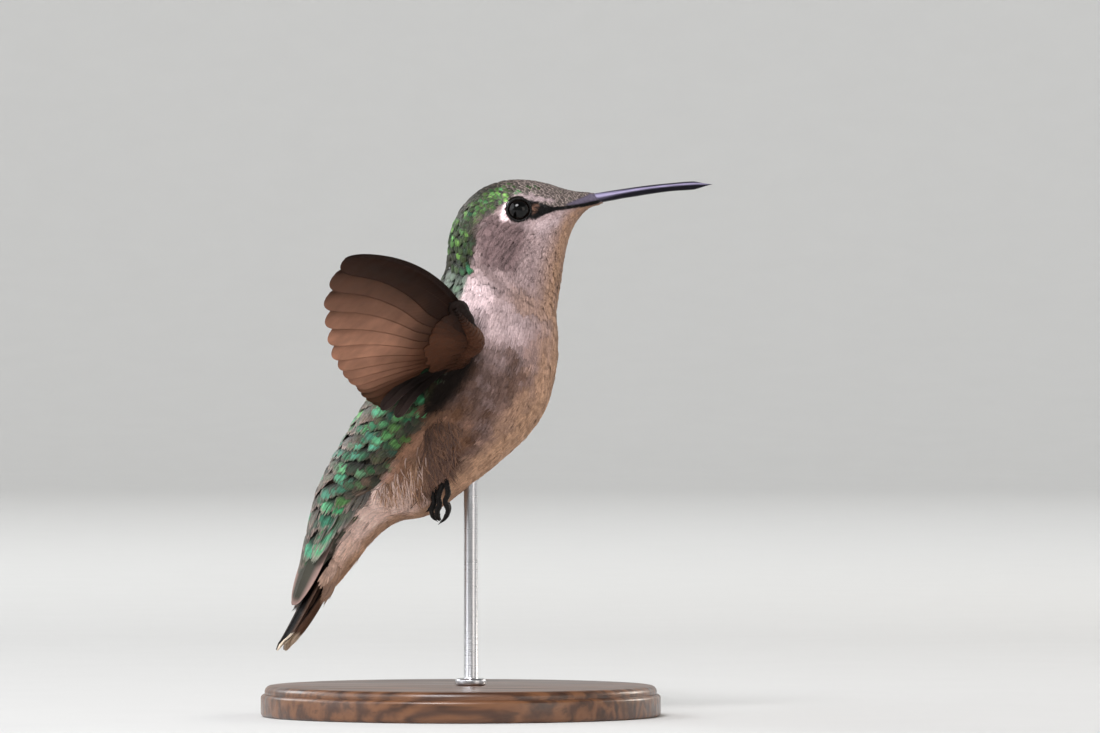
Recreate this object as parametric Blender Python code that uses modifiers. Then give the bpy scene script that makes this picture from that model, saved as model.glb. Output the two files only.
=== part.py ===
"""A life-size still model of a hovering female ruby-throated hummingbird on a display stand.

The bird faces +X, its right side is -Y and +Z is up. The origin is the centre of the stand's
underside. The body is one loft through named sections, parted into head, neck, trunk and
undertail coverts by thin cuts. Sizes below are in millimetres and become metres in place().
"""

import math

import bmesh
import bpy
import numpy as np

MM = 0.001
GAP = 0.3  # clearance that neighbouring solids keep
CUTTERS = "cutters"  # the collection of guides and cutters

# --- Driving dimensions, in millimetres ------------------------------------------------------

# Each section of the body: its uppermost or hindmost point and its lowest or foremost one, both
# as (x, z) in the plane of symmetry, its half width, and how far its widest level leans towards
# the back (+) or the underside (-). They run from the bill's base to the last undertail covert.
BODY_SECTIONS = [
    # back point,    underside point, half width, lean
    ((17.2, 68.1), (18.6, 66.6), 0.95, 0.00),  # bill base
    ((15.3, 68.2), (16.7, 66.0), 1.50, 0.00),  # forehead
    ((13.3, 68.6), (15.3, 64.6), 2.35, -0.04),  # lores
    ((11.1, 69.3), (14.4, 63.0), 3.40, -0.08),  # before the eye
    ((8.7, 69.7), (13.8, 61.1), 4.25, -0.10),  # brow
    ((6.1, 69.7), (13.4, 59.0), 4.85, -0.10),  # eye
    ((3.5, 69.0), (13.1, 56.9), 5.20, -0.08),  # crown
    ((1.3, 67.5), (12.9, 55.4), 5.35, -0.06),  # ear coverts
    ((-0.4, 65.3), (12.7, 54.1), 5.35, -0.04),  # hindcrown
    ((-1.5, 62.6), (12.5, 52.9), 5.35, -0.02),  # nape
    ((-1.8, 59.9), (12.5, 51.7), 5.55, 0.00),  # hindneck
    ((-2.2, 57.6), (12.6, 50.4), 6.10, 0.02),  # neck base
    ((-3.4, 55.4), (12.7, 48.5), 6.90, 0.04),  # mantle
    ((-5.6, 52.0), (12.4, 44.7), 7.70, 0.06),  # shoulders
    ((-8.2, 48.0), (11.2, 40.2), 8.00, 0.06),  # breast
    ((-10.8, 43.7), (8.6, 36.3), 7.75, 0.05),  # lower back
    ((-13.4, 39.4), (4.8, 32.8), 7.10, 0.03),  # belly
    ((-15.7, 35.4), (0.5, 29.4), 6.20, 0.00),  # rump
    ((-17.6, 32.0), (-3.9, 26.2), 5.35, 0.00),  # thighs
    ((-18.9, 29.1), (-8.3, 25.2), 4.75, 0.02),  # vent
    ((-19.5, 26.5), (-11.4, 22.8), 4.10, 0.05),  # uppertail coverts
    ((-20.1, 23.9), (-13.8, 19.8), 3.40, 0.05),  # undertail coverts
    ((-20.7, 21.3), (-16.1, 17.0), 2.60, 0.05),  # their lower third
    ((-21.2, 18.6), (-18.6, 15.4), 1.50, 0.05),  # their tip
]
BODY_SIDES = 26
RINGS_PER_SECTION = 2
# Where the body is parted, counted in sections from the bill's base.
HEAD_END, NECK_END, TRUNK_END, COVERT_END = 9.5, 11.5, 18.6, 22.8

EYE_CENTRE = (7.45, 3.2, 65.7)
EYE_RADIUS = 2.05

# The bill's middle line rises and droops at its tip; its (depth, width) is at each point.
BILL_LINE = [
    (17.9, 67.32),
    (21.0, 67.92),
    (24.0, 68.40),
    (27.0, 68.76),
    (30.0, 68.98),
    (32.5, 69.06),
]
BILL_SIZES = [
    (1.50, 1.90),
    (1.32, 1.62),
    (1.18, 1.36),
    (1.06, 1.16),
    (0.98, 1.00),
    (0.50, 0.50),
]
BILL_BASE_SLANT = 43.0  # degrees that the head's front edge leans back from upright
BILL_SIDES = 12
BILL_SLIT = 0.12  # half of the thin cut between the two halves of the bill

PRIMARIES, SECONDARIES = 10, 6
WING_SWEEP, WING_RAISE, WING_PITCH = 21.0, 13.0, 36.0  # degrees: back, up, and trailing edge down
SHOULDER = (-0.6, -5.0, 46.2)
ELBOW = (0.4, -7.6, 45.9)
FOREARM = (-0.2, -8.5, 47.6)
WRIST = (1.9, -12.0, 48.8)
FEATHER_ROOT = 0.6  # where the blade starts, off the wrist and the forearm
# Tips of the primaries from the outermost in: distance from the wrist and degrees off the first.
PRIMARY_LENGTHS = [45.0, 42.2, 37.5, 32.4, 27.8, 24.2, 21.3, 19.4, 18.0, 16.8]
PRIMARY_ANGLES = [0.0, 3.5, 8.5, 14.0, 21.0, 29.0, 37.0, 45.0, 53.0, 61.0]
LAST_SECONDARY, LAST_SECONDARY_ANGLE = 12.2, 97.0  # its length from its root, and its angle
FEATHER_BEND, WING_CAMBER = 16.0, 1.6  # degrees backwards over the longest primary; millimetres
VANE_THICKNESS, WING_ROOT_THICKNESS = 0.55, 1.5
ARM_RADII = [2.5, 2.2, 1.6, 0.9, 0.3]  # at the shoulder, forearm and wrist and on along the hand
PRIMARY_ROWS, SECONDARY_ROWS = (-0.4, -0.14, 0.14, 0.4), (-0.25, 0.25)  # parts of a feather's place
TIP_NOTCH = 0.8  # how far the blade's edge falls back between two tips

RECTRIX_PAIRS = 5
# Tips of the tail feathers from the middle pair outwards: (x, side, z).
RECTRIX_TIPS = [
    (-22.6, 1.3, 12.8),
    (-23.3, 2.7, 10.0),
    (-23.5, 4.1, 8.8),
    (-23.4, 5.3, 8.6),
    (-22.9, 6.3, 9.2),
]
OUTER_VANE = 0.7  # how far the outermost feather's vane reaches past its shaft
TAIL_NOTCH = 0.04  # how far the edge falls back between two tips, as a share of the tail's length
TAIL_NORMAL = (-0.96, 0.28)  # x and z of the direction that the tail's upper side faces
TAIL_ROLL = 8.0  # degrees about the tail's length, the left side lower
TAIL_EDGE = 98.0  # degrees round the body from the back to where the tail's edges leave it
TAIL_DEPTH = 0.42  # its middle's root, as a share of the way from the body's middle out to the back
TAIL_THICKNESS = 0.55

TARSUS = [(-2.2, 3.3, 32.0), (-2.4, 4.3, 28.9)]
FRONT_TOE = [
    (-2.35, 4.2, 29.5),
    (-1.6, 4.4, 28.7),
    (-1.15, 4.5, 27.5),
    (-1.5, 4.45, 26.2),
    (-2.3, 4.4, 25.4),
    (-3.2, 4.3, 25.4),
]
HIND_TOE = [
    (-2.4, 4.15, 29.4),
    (-3.2, 4.2, 28.7),
    (-3.6, 4.3, 27.7),
    (-3.5, 4.3, 26.9),
    (-4.1, 4.2, 26.3),
]
TOE_SPREAD = 0.74  # sideways from one front toe to the next
TOE_TUCK = (-0.25, 0.2)  # how far back and up the outer two front toes stand from the middle one
TARSUS_RADIUS, TOE_RADIUS, CLAW_RADIUS = 0.44, 0.36, 0.14

BASE_RADIUS, BASE_HEIGHT, BASE_ROUND = 26.0, 4.0, 0.8
ROD_X, ROD_RADIUS = 1.3, 0.9
BELLY_SECTION = 16  # the section whose back the rod is cut off from below

# What each sub-part looks like: base colour, roughness, metallic.
FINISHES = {
    "head": ((0.13, 0.25, 0.10), 0.45, 0.0),
    "neck": ((0.60, 0.55, 0.52), 0.80, 0.0),
    "trunk": ((0.42, 0.34, 0.29), 0.80, 0.0),
    "uppertail_coverts": ((0.10, 0.36, 0.26), 0.40, 0.0),
    "undertail_coverts": ((0.68, 0.61, 0.56), 0.80, 0.0),
    "tail": ((0.05, 0.06, 0.05), 0.50, 0.0),
    "wing": ((0.12, 0.08, 0.06), 0.55, 0.0),
    "leg": ((0.03, 0.025, 0.02), 0.55, 0.0),
    "eye": ((0.01, 0.008, 0.006), 0.05, 0.0),
    "bill": ((0.02, 0.02, 0.025), 0.30, 0.0),
    "stand_base": ((0.12, 0.06, 0.03), 0.40, 0.0),
    "stand_rod": ((0.60, 0.60, 0.62), 0.30, 1.0),
}


# --- Small helpers -----------------------------------------------------------------------------


def clear_scene():
    for obj in list(bpy.data.objects):
        bpy.data.objects.remove(obj)


def collection(name):
    made = bpy.data.collections.new(name)
    bpy.context.scene.collection.children.link(made)
    return made


def material(node):
    """A Principled material for one sub-part, in the finish of its kind."""
    kind = node if node in FINISHES else node.split("_")[0]
    colour, roughness, metallic = FINISHES[kind]
    made = bpy.data.materials.new(node)
    made.use_nodes = True
    shader = made.node_tree.nodes["Principled BSDF"]
    shader.inputs["Base Color"].default_value = (*colour, 1.0)
    shader.inputs["Roughness"].default_value = roughness
    shader.inputs["Metallic"].default_value = metallic
    return made


def finish(obj):
    """Names the object's material after it and shades it smooth but for its sharp edges."""
    obj.data.materials.clear()
    obj.data.materials.append(material(obj.name))
    obj.data.shade_smooth()
    obj.data.set_sharp_from_angle(angle=math.radians(50))


def place(bm, name, where):
    """Turns a bmesh in millimetres into an object in metres. In the cutters it is a guide only."""
    bmesh.ops.scale(bm, vec=(MM, MM, MM), verts=bm.verts)
    bmesh.ops.recalc_face_normals(bm, faces=bm.faces)
    mesh = bpy.data.meshes.new(name)
    bm.to_mesh(mesh)
    bm.free()
    obj = bpy.data.objects.new(name, mesh)
    where.objects.link(obj)
    if where.name == CUTTERS:
        obj.hide_render = True
        obj.display_type = "WIRE"
    return obj


def move_to(obj, where):
    """Leaves the object in this collection only."""
    for owner in list(obj.users_collection):
        owner.objects.unlink(obj)
    where.objects.link(obj)


def curve_value(rows, at):
    """The value at a fractional row of a table, on a smooth curve through all its rows."""
    rows = np.asarray(rows, float)
    at = min(max(at, 0.0), len(rows) - 1.0)
    i = min(int(at), len(rows) - 2)
    t = at - i
    before = rows[i - 1] if i else 2 * rows[0] - rows[1]
    after = rows[i + 2] if i + 2 < len(rows) else 2 * rows[-1] - rows[-2]
    a, b = rows[i], rows[i + 1]
    slope_a, slope_b = (b - before) / 2, (after - a) / 2
    return (
        a * (2 * t**3 - 3 * t**2 + 1)
        + b * (3 * t**2 - 2 * t**3)
        + slope_a * (t**3 - 2 * t**2 + t)
        + slope_b * (t**3 - t**2)
    )


def loft(rings):
    """A closed solid through rings of equally many points, with flat ends."""
    bm = bmesh.new()
    loops = [[bm.verts.new(point) for point in ring] for ring in rings]
    count = len(loops[0])
    for first, second in zip(loops, loops[1:]):
        for i in range(count):
            j = (i + 1) % count
            bm.faces.new((first[i], first[j], second[j], second[i]))
    bm.faces.new(loops[0])
    bm.faces.new(loops[-1])
    return bm


def sheet(grid, half):
    """A closed slab about a grid of points, half[i][j] thick to each side of it."""
    grid = np.asarray(grid)
    across = np.gradient(grid, axis=0)
    along = np.gradient(grid, axis=1)
    normal = np.cross(across, along)
    normal /= np.linalg.norm(normal, axis=2, keepdims=True)
    upper = grid + normal * half[..., None]
    lower = grid - normal * half[..., None]
    bm = bmesh.new()
    rows, columns = grid.shape[:2]
    sides = [[[bm.verts.new(point) for point in row] for row in side] for side in (upper, lower)]
    for side in sides:
        for i in range(rows - 1):
            for j in range(columns - 1):
                bm.faces.new((side[i][j], side[i + 1][j], side[i + 1][j + 1], side[i][j + 1]))
    border = [(0, j) for j in range(columns - 1)]
    border += [(i, columns - 1) for i in range(rows - 1)]
    border += [(rows - 1, j) for j in range(columns - 1, 0, -1)]
    border += [(i, 0) for i in range(rows - 1, 0, -1)]
    for k, (i, j) in enumerate(border):
        m, n = border[(k + 1) % len(border)]
        bm.faces.new((sides[0][i][j], sides[0][m][n], sides[1][m][n], sides[1][i][j]))
    return bm


def on_side(points, side):
    """The points of a right-hand piece, mirrored where the piece is the left one."""
    return [(x, -side * y, z) for x, y, z in points]


def boolean(obj, other, operation):
    modifier = obj.modifiers.new(other.name, "BOOLEAN")
    modifier.operation = operation
    modifier.object = other
    modifier.solver = "EXACT"


def apply_modifiers(obj):
    graph = bpy.context.evaluated_depsgraph_get()
    mesh = bpy.data.meshes.new_from_object(obj.evaluated_get(graph))
    obj.modifiers.clear()
    obj.data = mesh


def keep_one_piece(obj, merit=len):
    """Applies the object's cuts and keeps the loose piece that scores most: the finest, if unsaid."""
    apply_modifiers(obj)
    bm = bmesh.new()
    bm.from_mesh(obj.data)
    left = set(bm.verts)
    pieces = []
    while left:
        piece = set()
        edge = {left.pop()}
        while edge:
            vert = edge.pop()
            piece.add(vert)
            edge |= {e.other_vert(vert) for e in vert.link_edges} - piece
        left -= piece
        pieces.append(piece)
    kept = max(pieces, key=merit)
    bmesh.ops.delete(bm, geom=[vert for vert in bm.verts if vert not in kept], context="VERTS")
    bm.to_mesh(obj.data)
    bm.free()


# --- Body ----------------------------------------------------------------------------------------


def body_point(section, angle, grow=0.0):
    """A point of the body's surface: angle 0 is the back, 90 degrees the bird's right side."""
    rows = [(*back, *under, width, lean) for back, under, width, lean in BODY_SECTIONS]
    bx, bz, ux, uz, width, lean = curve_value(rows, section)
    middle = np.array([(bx + ux) / 2, 0.0, (bz + uz) / 2])
    half = np.array([(bx - ux) / 2, 0.0, (bz - uz) / 2])
    depth = np.linalg.norm(half)
    up = half / depth
    side = -(width + grow) * math.sin(angle) * (1 + lean * math.cos(angle))
    return middle + up * (depth + grow) * math.cos(angle) + np.array([0.0, side, 0.0])


def body_length(section):
    """How many millimetres of the middle line lie between two sections here."""
    step = 0.05
    middle = [(body_point(s, 0.0) + body_point(s, math.pi)) / 2 for s in (section - step, section + step)]
    return np.linalg.norm(middle[1] - middle[0]) / (2 * step)


def body_piece(name, first, last, where, grow=0.0):
    count = max(2, round((last - first) * RINGS_PER_SECTION) + 1)
    turn = 2 * math.pi / BODY_SIDES
    rings = []
    for section in np.linspace(first, last, count):
        rings.append([body_point(section, turn * i, grow) for i in range(BODY_SIDES)])
    return place(loft(rings), name, where)


def after_cut(section):
    """The section that begins one gap past a cut."""
    return section + GAP / body_length(section)


def eye(name, side, where):
    x, y, z = EYE_CENTRE
    bpy.ops.mesh.primitive_uv_sphere_add(
        segments=18, ring_count=11, radius=EYE_RADIUS * MM, location=(x * MM, side * y * MM, z * MM)
    )
    ball = bpy.context.object
    ball.name = name
    move_to(ball, where)
    return ball


def eye_socket(name, side, where):
    x, y, z = EYE_CENTRE
    bm = bmesh.new()
    bmesh.ops.create_uvsphere(bm, u_segments=18, v_segments=11, radius=EYE_RADIUS + GAP)
    bmesh.ops.translate(bm, vec=(x, side * y, z), verts=bm.verts)
    return place(bm, name, where)


def bill_half(name, sign, where):
    """One half of the bill: the part of each oval section above (+1) or below (-1) the slit."""
    rings = []
    for at in np.linspace(0.0, len(BILL_LINE) - 1, 2 * len(BILL_LINE)):
        x, z = curve_value(BILL_LINE, at)
        height, width = curve_value(BILL_SIZES, at) / 2
        slant = math.tan(math.radians(BILL_BASE_SLANT)) * max(0.0, 1 - at)
        start = math.asin(BILL_SLIT / height)
        ring = []
        for angle in np.linspace(start, math.pi - start, BILL_SIDES // 2 + 1):
            rise = sign * height * math.sin(angle)
            ring.append((x + GAP - slant * rise, width * math.cos(angle), z + rise))
        rings.append(ring)
    return place(loft(rings), name, where)


# --- Wings ---------------------------------------------------------------------------------------


def wing_axes():
    """The right wing's directions: out along it, back across it, and out of its upper side."""
    sweep, rise, pitch = (math.radians(a) for a in (WING_SWEEP, WING_RAISE, WING_PITCH))
    along = np.array(
        [-math.sin(sweep) * math.cos(rise), -math.cos(sweep) * math.cos(rise), math.sin(rise)]
    )
    back = np.array([-math.cos(sweep), math.sin(sweep), 0.0])
    up = np.cross(back, along)
    up *= math.copysign(1.0, up[2])
    across = math.cos(pitch) * back - math.sin(pitch) * up
    return along, across, math.cos(pitch) * up + math.sin(pitch) * back


def wing_feather(number):
    """How flight feather number 0 (outermost primary) to 15 (innermost secondary) stands.

    Returns the point that it starts from, its tip's distance from that point, and the angle of
    its tip off the wing's length in radians.
    """
    wrist, elbow = np.array(WRIST), np.array(ELBOW)
    last_primary = PRIMARIES - 1
    if number <= last_primary:
        length = curve_value([[value] for value in PRIMARY_LENGTHS], number)[0]
        angle = curve_value([[value] for value in PRIMARY_ANGLES], number)[0]
        angle += min(number, 0.0) * 3
        return wrist, length, math.radians(angle)
    share = (number - last_primary) / SECONDARIES
    length = PRIMARY_LENGTHS[-1] * (1 - share) + LAST_SECONDARY * share
    angle = PRIMARY_ANGLES[-1] * (1 - share) + LAST_SECONDARY_ANGLE * share
    return wrist + (elbow - wrist) * share, length, math.radians(angle)


def wing_point(number, t, notch=0.0):
    """A point of flight feather number, from its root (t = 0) to its tip (t = 1)."""
    start, length, angle = wing_feather(number)
    along, across, up = wing_axes()
    reach = FEATHER_ROOT + (length - notch - FEATHER_ROOT) * t
    bend = angle + math.radians(FEATHER_BEND) * (reach - length) / PRIMARY_LENGTHS[0]
    camber = 4 * WING_CAMBER * (reach / PRIMARY_LENGTHS[0]) * (1 - reach / PRIMARY_LENGTHS[0])
    return start + reach * (math.cos(bend) * along + math.sin(bend) * across) + camber * up


def wing_blade(name, side, where):
    """One scalloped slab for all the flight feathers, thickest at their roots."""
    grid = []
    steps = np.array([0.0, 0.3, 0.6, 0.86, 1.0])
    for number in range(PRIMARIES + SECONDARIES):
        offsets = PRIMARY_ROWS if number < PRIMARIES else SECONDARY_ROWS
        for offset in offsets:
            notch = TIP_NOTCH if abs(offset) > 0.3 else 0.0
            row = [wing_point(number + offset, t, notch) for t in steps]
            grid.append(on_side(row, side))
    half = (VANE_THICKNESS + (WING_ROOT_THICKNESS - VANE_THICKNESS) * (1 - steps) ** 3) / 2
    half = np.tile(half, (len(grid), 1))
    return place(sheet(grid, half), name, where)


def tube(name, points, radii, where):
    """A tapered round rod along a smooth curve through the points, as a mesh with welded caps."""
    data = bpy.data.curves.new(name, "CURVE")
    data.dimensions = "3D"
    data.bevel_depth = MM
    data.bevel_resolution = 1
    data.use_fill_caps = True
    spline = data.splines.new("POLY")
    steps = 2 * (len(points) - 1) + 1
    spline.points.add(steps - 1)
    for i, at in enumerate(np.linspace(0, len(points) - 1, steps)):
        spline.points[i].co = (*curve_value(points, at) * MM, 1.0)
        spline.points[i].radius = curve_value([[radius] for radius in radii], at)[0]
    line = bpy.data.objects.new(name + "_line", data)
    where.objects.link(line)
    graph = bpy.context.evaluated_depsgraph_get()
    bm = bmesh.new()
    bm.from_mesh(bpy.data.meshes.new_from_object(line.evaluated_get(graph)))
    matrix = line.matrix_world.copy()
    bpy.data.objects.remove(line)
    bmesh.ops.remove_doubles(bm, verts=bm.verts, dist=0.00001)
    bmesh.ops.scale(bm, vec=(1 / MM, 1 / MM, 1 / MM), verts=bm.verts)
    made = place(bm, name, where)
    made.matrix_world = matrix
    return made


def wing(name, side, body_cutter, cutters, where):
    """The feathered wing: its blade joined to the arm and hand, and cut to fit the body."""
    blade = wing_blade(name, side, where)
    hand = [wing_point(0, t) for t in (0.2, 0.5)]
    line = on_side([SHOULDER, FOREARM, WRIST, *hand], side)
    boolean(blade, tube(name + "_arm", line, ARM_RADII, cutters), "UNION")
    boolean(blade, body_cutter, "DIFFERENCE")
    keep_one_piece(blade)


# --- Tail ----------------------------------------------------------------------------------------


def tail_point(place_across, t, section):
    """A point of the tail's surface: place_across runs from -5 (left edge) to 5 (right edge)."""
    share = place_across / RECTRIX_PAIRS
    middle = (body_point(section, 0.0) + body_point(section, math.pi)) / 2
    surface = body_point(section, math.radians(TAIL_EDGE) * share)
    depth = TAIL_DEPTH + (1 - TAIL_DEPTH) * abs(share) ** 1.5
    root = middle + (surface - middle) * depth
    feather = abs(place_across) - 0.5
    x, side, z = curve_value(RECTRIX_TIPS, feather)
    side += max(feather - RECTRIX_PAIRS + 1, 0.0) * 2 * OUTER_VANE
    side *= min(abs(place_across) / 0.5, 1.0)
    y = -math.copysign(side, place_across)
    lower = math.sin(math.radians(TAIL_ROLL)) * y
    tip = np.array([x - TAIL_NORMAL[0] * lower, y, z - TAIL_NORMAL[1] * lower])
    return root + (tip - root) * t


def tail_sheet(name, width, start, half, notch, section, where):
    """A slab about the tail's surface, this many feathers wide to each side of the middle."""
    grid = []
    for place_across in np.linspace(-width, width, round(6 * width) + 1):
        between = 1 - 2 * abs(abs(place_across) % 1.0 - 0.5)
        steps = np.linspace(start, 1.0 - notch * (1 - between) ** 2, 6)
        grid.append([tail_point(place_across, t, section) for t in steps])
    return place(sheet(grid, half * np.ones((len(grid), 6))), name, where)


def tail_group(cutters, where):
    """The tail, and the coverts over and under its root, which it parts: hindmost and foremost."""
    section = after_cut(TRUNK_END)
    half = TAIL_THICKNESS / 2
    tail_sheet("tail", RECTRIX_PAIRS, 0.0, half, TAIL_NOTCH, section, where)
    parting = tail_sheet("parting", RECTRIX_PAIRS + 0.8, -0.04, half + GAP, 0.0, section, cutters)
    for name, way in (("uppertail_coverts", -1), ("undertail_coverts", 1)):
        coverts = body_piece(name, section, COVERT_END, where)
        boolean(coverts, parting, "DIFFERENCE")
        keep_one_piece(coverts, lambda piece, way=way: max(way * vert.co.x for vert in piece))


# --- Legs and stand --------------------------------------------------------------------------------


def leg(name, side, body_cutter, cutters, where):
    """A foot of three front toes and a hind toe, curled, on the end of its tarsus."""
    tarsus = tube(name, on_side(TARSUS, -side), [TARSUS_RADIUS, TARSUS_RADIUS], where)
    radii = [TARSUS_RADIUS] + [TOE_RADIUS] * 3 + [TOE_RADIUS * 0.8, CLAW_RADIUS]
    toes = [tube(name + "_hind_toe", on_side(HIND_TOE, -side), radii[:1] + radii[2:], cutters)]
    for number in (-1, 0, 1):
        back, up = (abs(number) * tuck for tuck in TOE_TUCK)
        line = [FRONT_TOE[0]]
        line += [(x + back, y + number * TOE_SPREAD, z + up) for x, y, z in FRONT_TOE[1:]]
        toes.append(tube(f"{name}_toe_{number}", on_side(line, -side), radii, cutters))
    for toe in toes:
        boolean(tarsus, toe, "UNION")
    boolean(tarsus, body_cutter, "DIFFERENCE")
    keep_one_piece(tarsus)


def cylinder(name, sides, radius, bottom, top, x, where):
    bpy.ops.mesh.primitive_cylinder_add(
        vertices=sides,
        radius=radius * MM,
        depth=(top - bottom) * MM,
        location=(x * MM, 0, (top + bottom) / 2 * MM),
    )
    made = bpy.context.object
    made.name = name
    move_to(made, where)
    return made


def stand(body_cutter, where):
    """A round base, and a rod from just above it to just under the bird's belly."""
    base = cylinder("stand_base", 48, BASE_RADIUS, 0.0, BASE_HEIGHT, 0.0, where)
    rim = base.modifiers.new("rounded rim", "BEVEL")
    rim.width = BASE_ROUND * MM
    rim.segments = 2
    rim.angle_limit = math.radians(60)
    belly = body_point(BELLY_SECTION, 0.0)[2]
    rod = cylinder("stand_rod", 20, ROD_RADIUS, BASE_HEIGHT + GAP, belly, ROD_X, where)
    boolean(rod, body_cutter, "DIFFERENCE")


def main():
    clear_scene()
    bird = collection("hummingbird")
    cutters = collection(CUTTERS)

    body_cutter = body_piece("body_cutter", 0.0, len(BODY_SECTIONS) - 1, cutters, grow=GAP)
    head = body_piece("head", 0.0, HEAD_END, bird)
    body_piece("neck", after_cut(HEAD_END), NECK_END, bird)
    body_piece("trunk", after_cut(NECK_END), TRUNK_END, bird)
    tail_group(cutters, bird)
    bill_half("bill_upper", 1, bird)
    bill_half("bill_lower", -1, bird)
    for side, which in ((-1, "right"), (1, "left")):
        eye("eye_" + which, side, bird)
        boolean(head, eye_socket("socket_" + which, side, cutters), "DIFFERENCE")
        wing("wing_" + which, side, body_cutter, cutters, bird)
        leg("leg_" + which, side, body_cutter, cutters, bird)
    stand(body_cutter, bird)
    for obj in bird.objects:
        finish(obj)


main()
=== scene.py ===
"""The looks of the hovering ruby-throated hummingbird on its display stand.

The body's skin follows the same loft as the solids, and every body feather is laid on that loft:
its root at the skin, its tip at the outline. Sizes here are in millimetres until make_piece makes
them metres.
"""

import math
from functools import partial

import bpy
import numpy as np
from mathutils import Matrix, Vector


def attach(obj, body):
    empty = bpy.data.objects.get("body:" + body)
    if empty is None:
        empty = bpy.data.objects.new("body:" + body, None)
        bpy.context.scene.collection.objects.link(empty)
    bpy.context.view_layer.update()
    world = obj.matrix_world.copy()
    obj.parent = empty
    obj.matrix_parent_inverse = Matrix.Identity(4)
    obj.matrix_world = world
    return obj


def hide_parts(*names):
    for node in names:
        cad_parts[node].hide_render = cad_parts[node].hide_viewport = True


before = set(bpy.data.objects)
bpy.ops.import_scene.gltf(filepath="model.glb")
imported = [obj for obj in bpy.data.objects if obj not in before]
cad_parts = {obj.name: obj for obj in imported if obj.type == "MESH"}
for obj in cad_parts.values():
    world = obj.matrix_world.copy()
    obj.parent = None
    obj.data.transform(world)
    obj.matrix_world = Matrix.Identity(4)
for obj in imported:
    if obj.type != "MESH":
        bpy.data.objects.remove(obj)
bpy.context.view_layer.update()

MM = 0.001
RANDOM = np.random.default_rng(11)

# --- The body, wings and tail as the solids have them, in millimetres ---

# Back point (x, z), underside point (x, z), half width, lean of the widest level.
BODY_SECTIONS = [
    (17.2, 68.1, 18.6, 66.6, 0.95, 0.00),  # 0 bill base
    (15.3, 68.2, 16.7, 66.0, 1.50, 0.00),  # 1 forehead
    (13.3, 68.6, 15.3, 64.6, 2.35, -0.04),  # 2 lores
    (11.1, 69.3, 14.4, 63.0, 3.40, -0.08),  # 3 before the eye
    (8.7, 69.7, 13.8, 61.1, 4.25, -0.10),  # 4 brow
    (6.1, 69.7, 13.4, 59.0, 4.85, -0.10),  # 5 eye
    (3.5, 69.0, 13.1, 56.9, 5.20, -0.08),  # 6 crown
    (1.3, 67.5, 12.9, 55.4, 5.35, -0.06),  # 7 ear coverts
    (-0.4, 65.3, 12.7, 54.1, 5.35, -0.04),  # 8 hindcrown
    (-1.5, 62.6, 12.5, 52.9, 5.35, -0.02),  # 9 nape
    (-1.8, 59.9, 12.5, 51.7, 5.55, 0.00),  # 10 hindneck
    (-2.2, 57.6, 12.6, 50.4, 6.10, 0.02),  # 11 neck base
    (-3.4, 55.4, 12.7, 48.5, 6.90, 0.04),  # 12 mantle
    (-5.6, 52.0, 12.4, 44.7, 7.70, 0.06),  # 13 shoulders
    (-8.2, 48.0, 11.2, 40.2, 8.00, 0.06),  # 14 breast
    (-10.8, 43.7, 8.6, 36.3, 7.75, 0.05),  # 15 lower back
    (-13.4, 39.4, 4.8, 32.8, 7.10, 0.03),  # 16 belly
    (-15.7, 35.4, 0.5, 29.4, 6.20, 0.00),  # 17 rump
    (-17.6, 32.0, -3.9, 26.2, 5.35, 0.00),  # 18 thighs
    (-18.9, 29.1, -8.3, 25.2, 4.75, 0.02),  # 19 vent
    (-19.5, 26.5, -11.4, 22.8, 4.10, 0.05),  # 20 uppertail coverts
    (-20.1, 23.9, -13.8, 19.8, 3.40, 0.05),  # 21 undertail coverts
    (-20.7, 21.3, -16.1, 17.0, 2.60, 0.05),  # 22 their lower third
    (-21.2, 18.6, -18.6, 15.4, 1.50, 0.05),  # 23 their tip
]
LAST_SECTION = len(BODY_SECTIONS) - 1
FACE_END = 10.5  # the section where the face's own marks end
BAKE_PATCH = 0.003  # how wide each feather's place on the bake map is
LID_RINGS, LID_AROUND = 72, 14  # round the eye, and round the lid's own rim
COVERT_END = 22.8  # where the solids of the tail's coverts stop
# Depth of the coat from its outline down to the skin, at these sections.
COAT_AT = [0, 2, 5, 9, 12, 14, 18, 21, 23]
COAT_DEPTH = [0.10, 0.20, 0.32, 0.50, 0.75, 0.90, 0.90, 0.75, 0.35]
# Degrees round from the back to where the scaly green plumage ends, one for each section.
GREEN_EDGE = [
    (120,), (108,), (97,), (89,), (79,), (57,), (54,), (56,), (56,), (57,), (55,), (53,),
    (54,), (60,), (66,), (72,), (78,), (81,), (86,), (93,), (99,), (104,), (110,), (118,),
]

EYE_CENTRE, EYE_RADIUS = np.array([7.45, 3.2, 65.7]), 2.05
EYE_OPENING = 1.42

BILL_LINE = [(17.9, 67.32), (21.0, 67.92), (24.0, 68.4), (27.0, 68.76), (30.0, 68.98), (32.5, 69.06)]
BILL_SIZES = [(1.36, 1.8), (1.30, 1.62), (1.18, 1.36), (1.08, 1.16), (1.08, 1.0), (0.5, 0.5)]
BILL_START = 0.3  # the gap between the head's front and the bill

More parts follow.
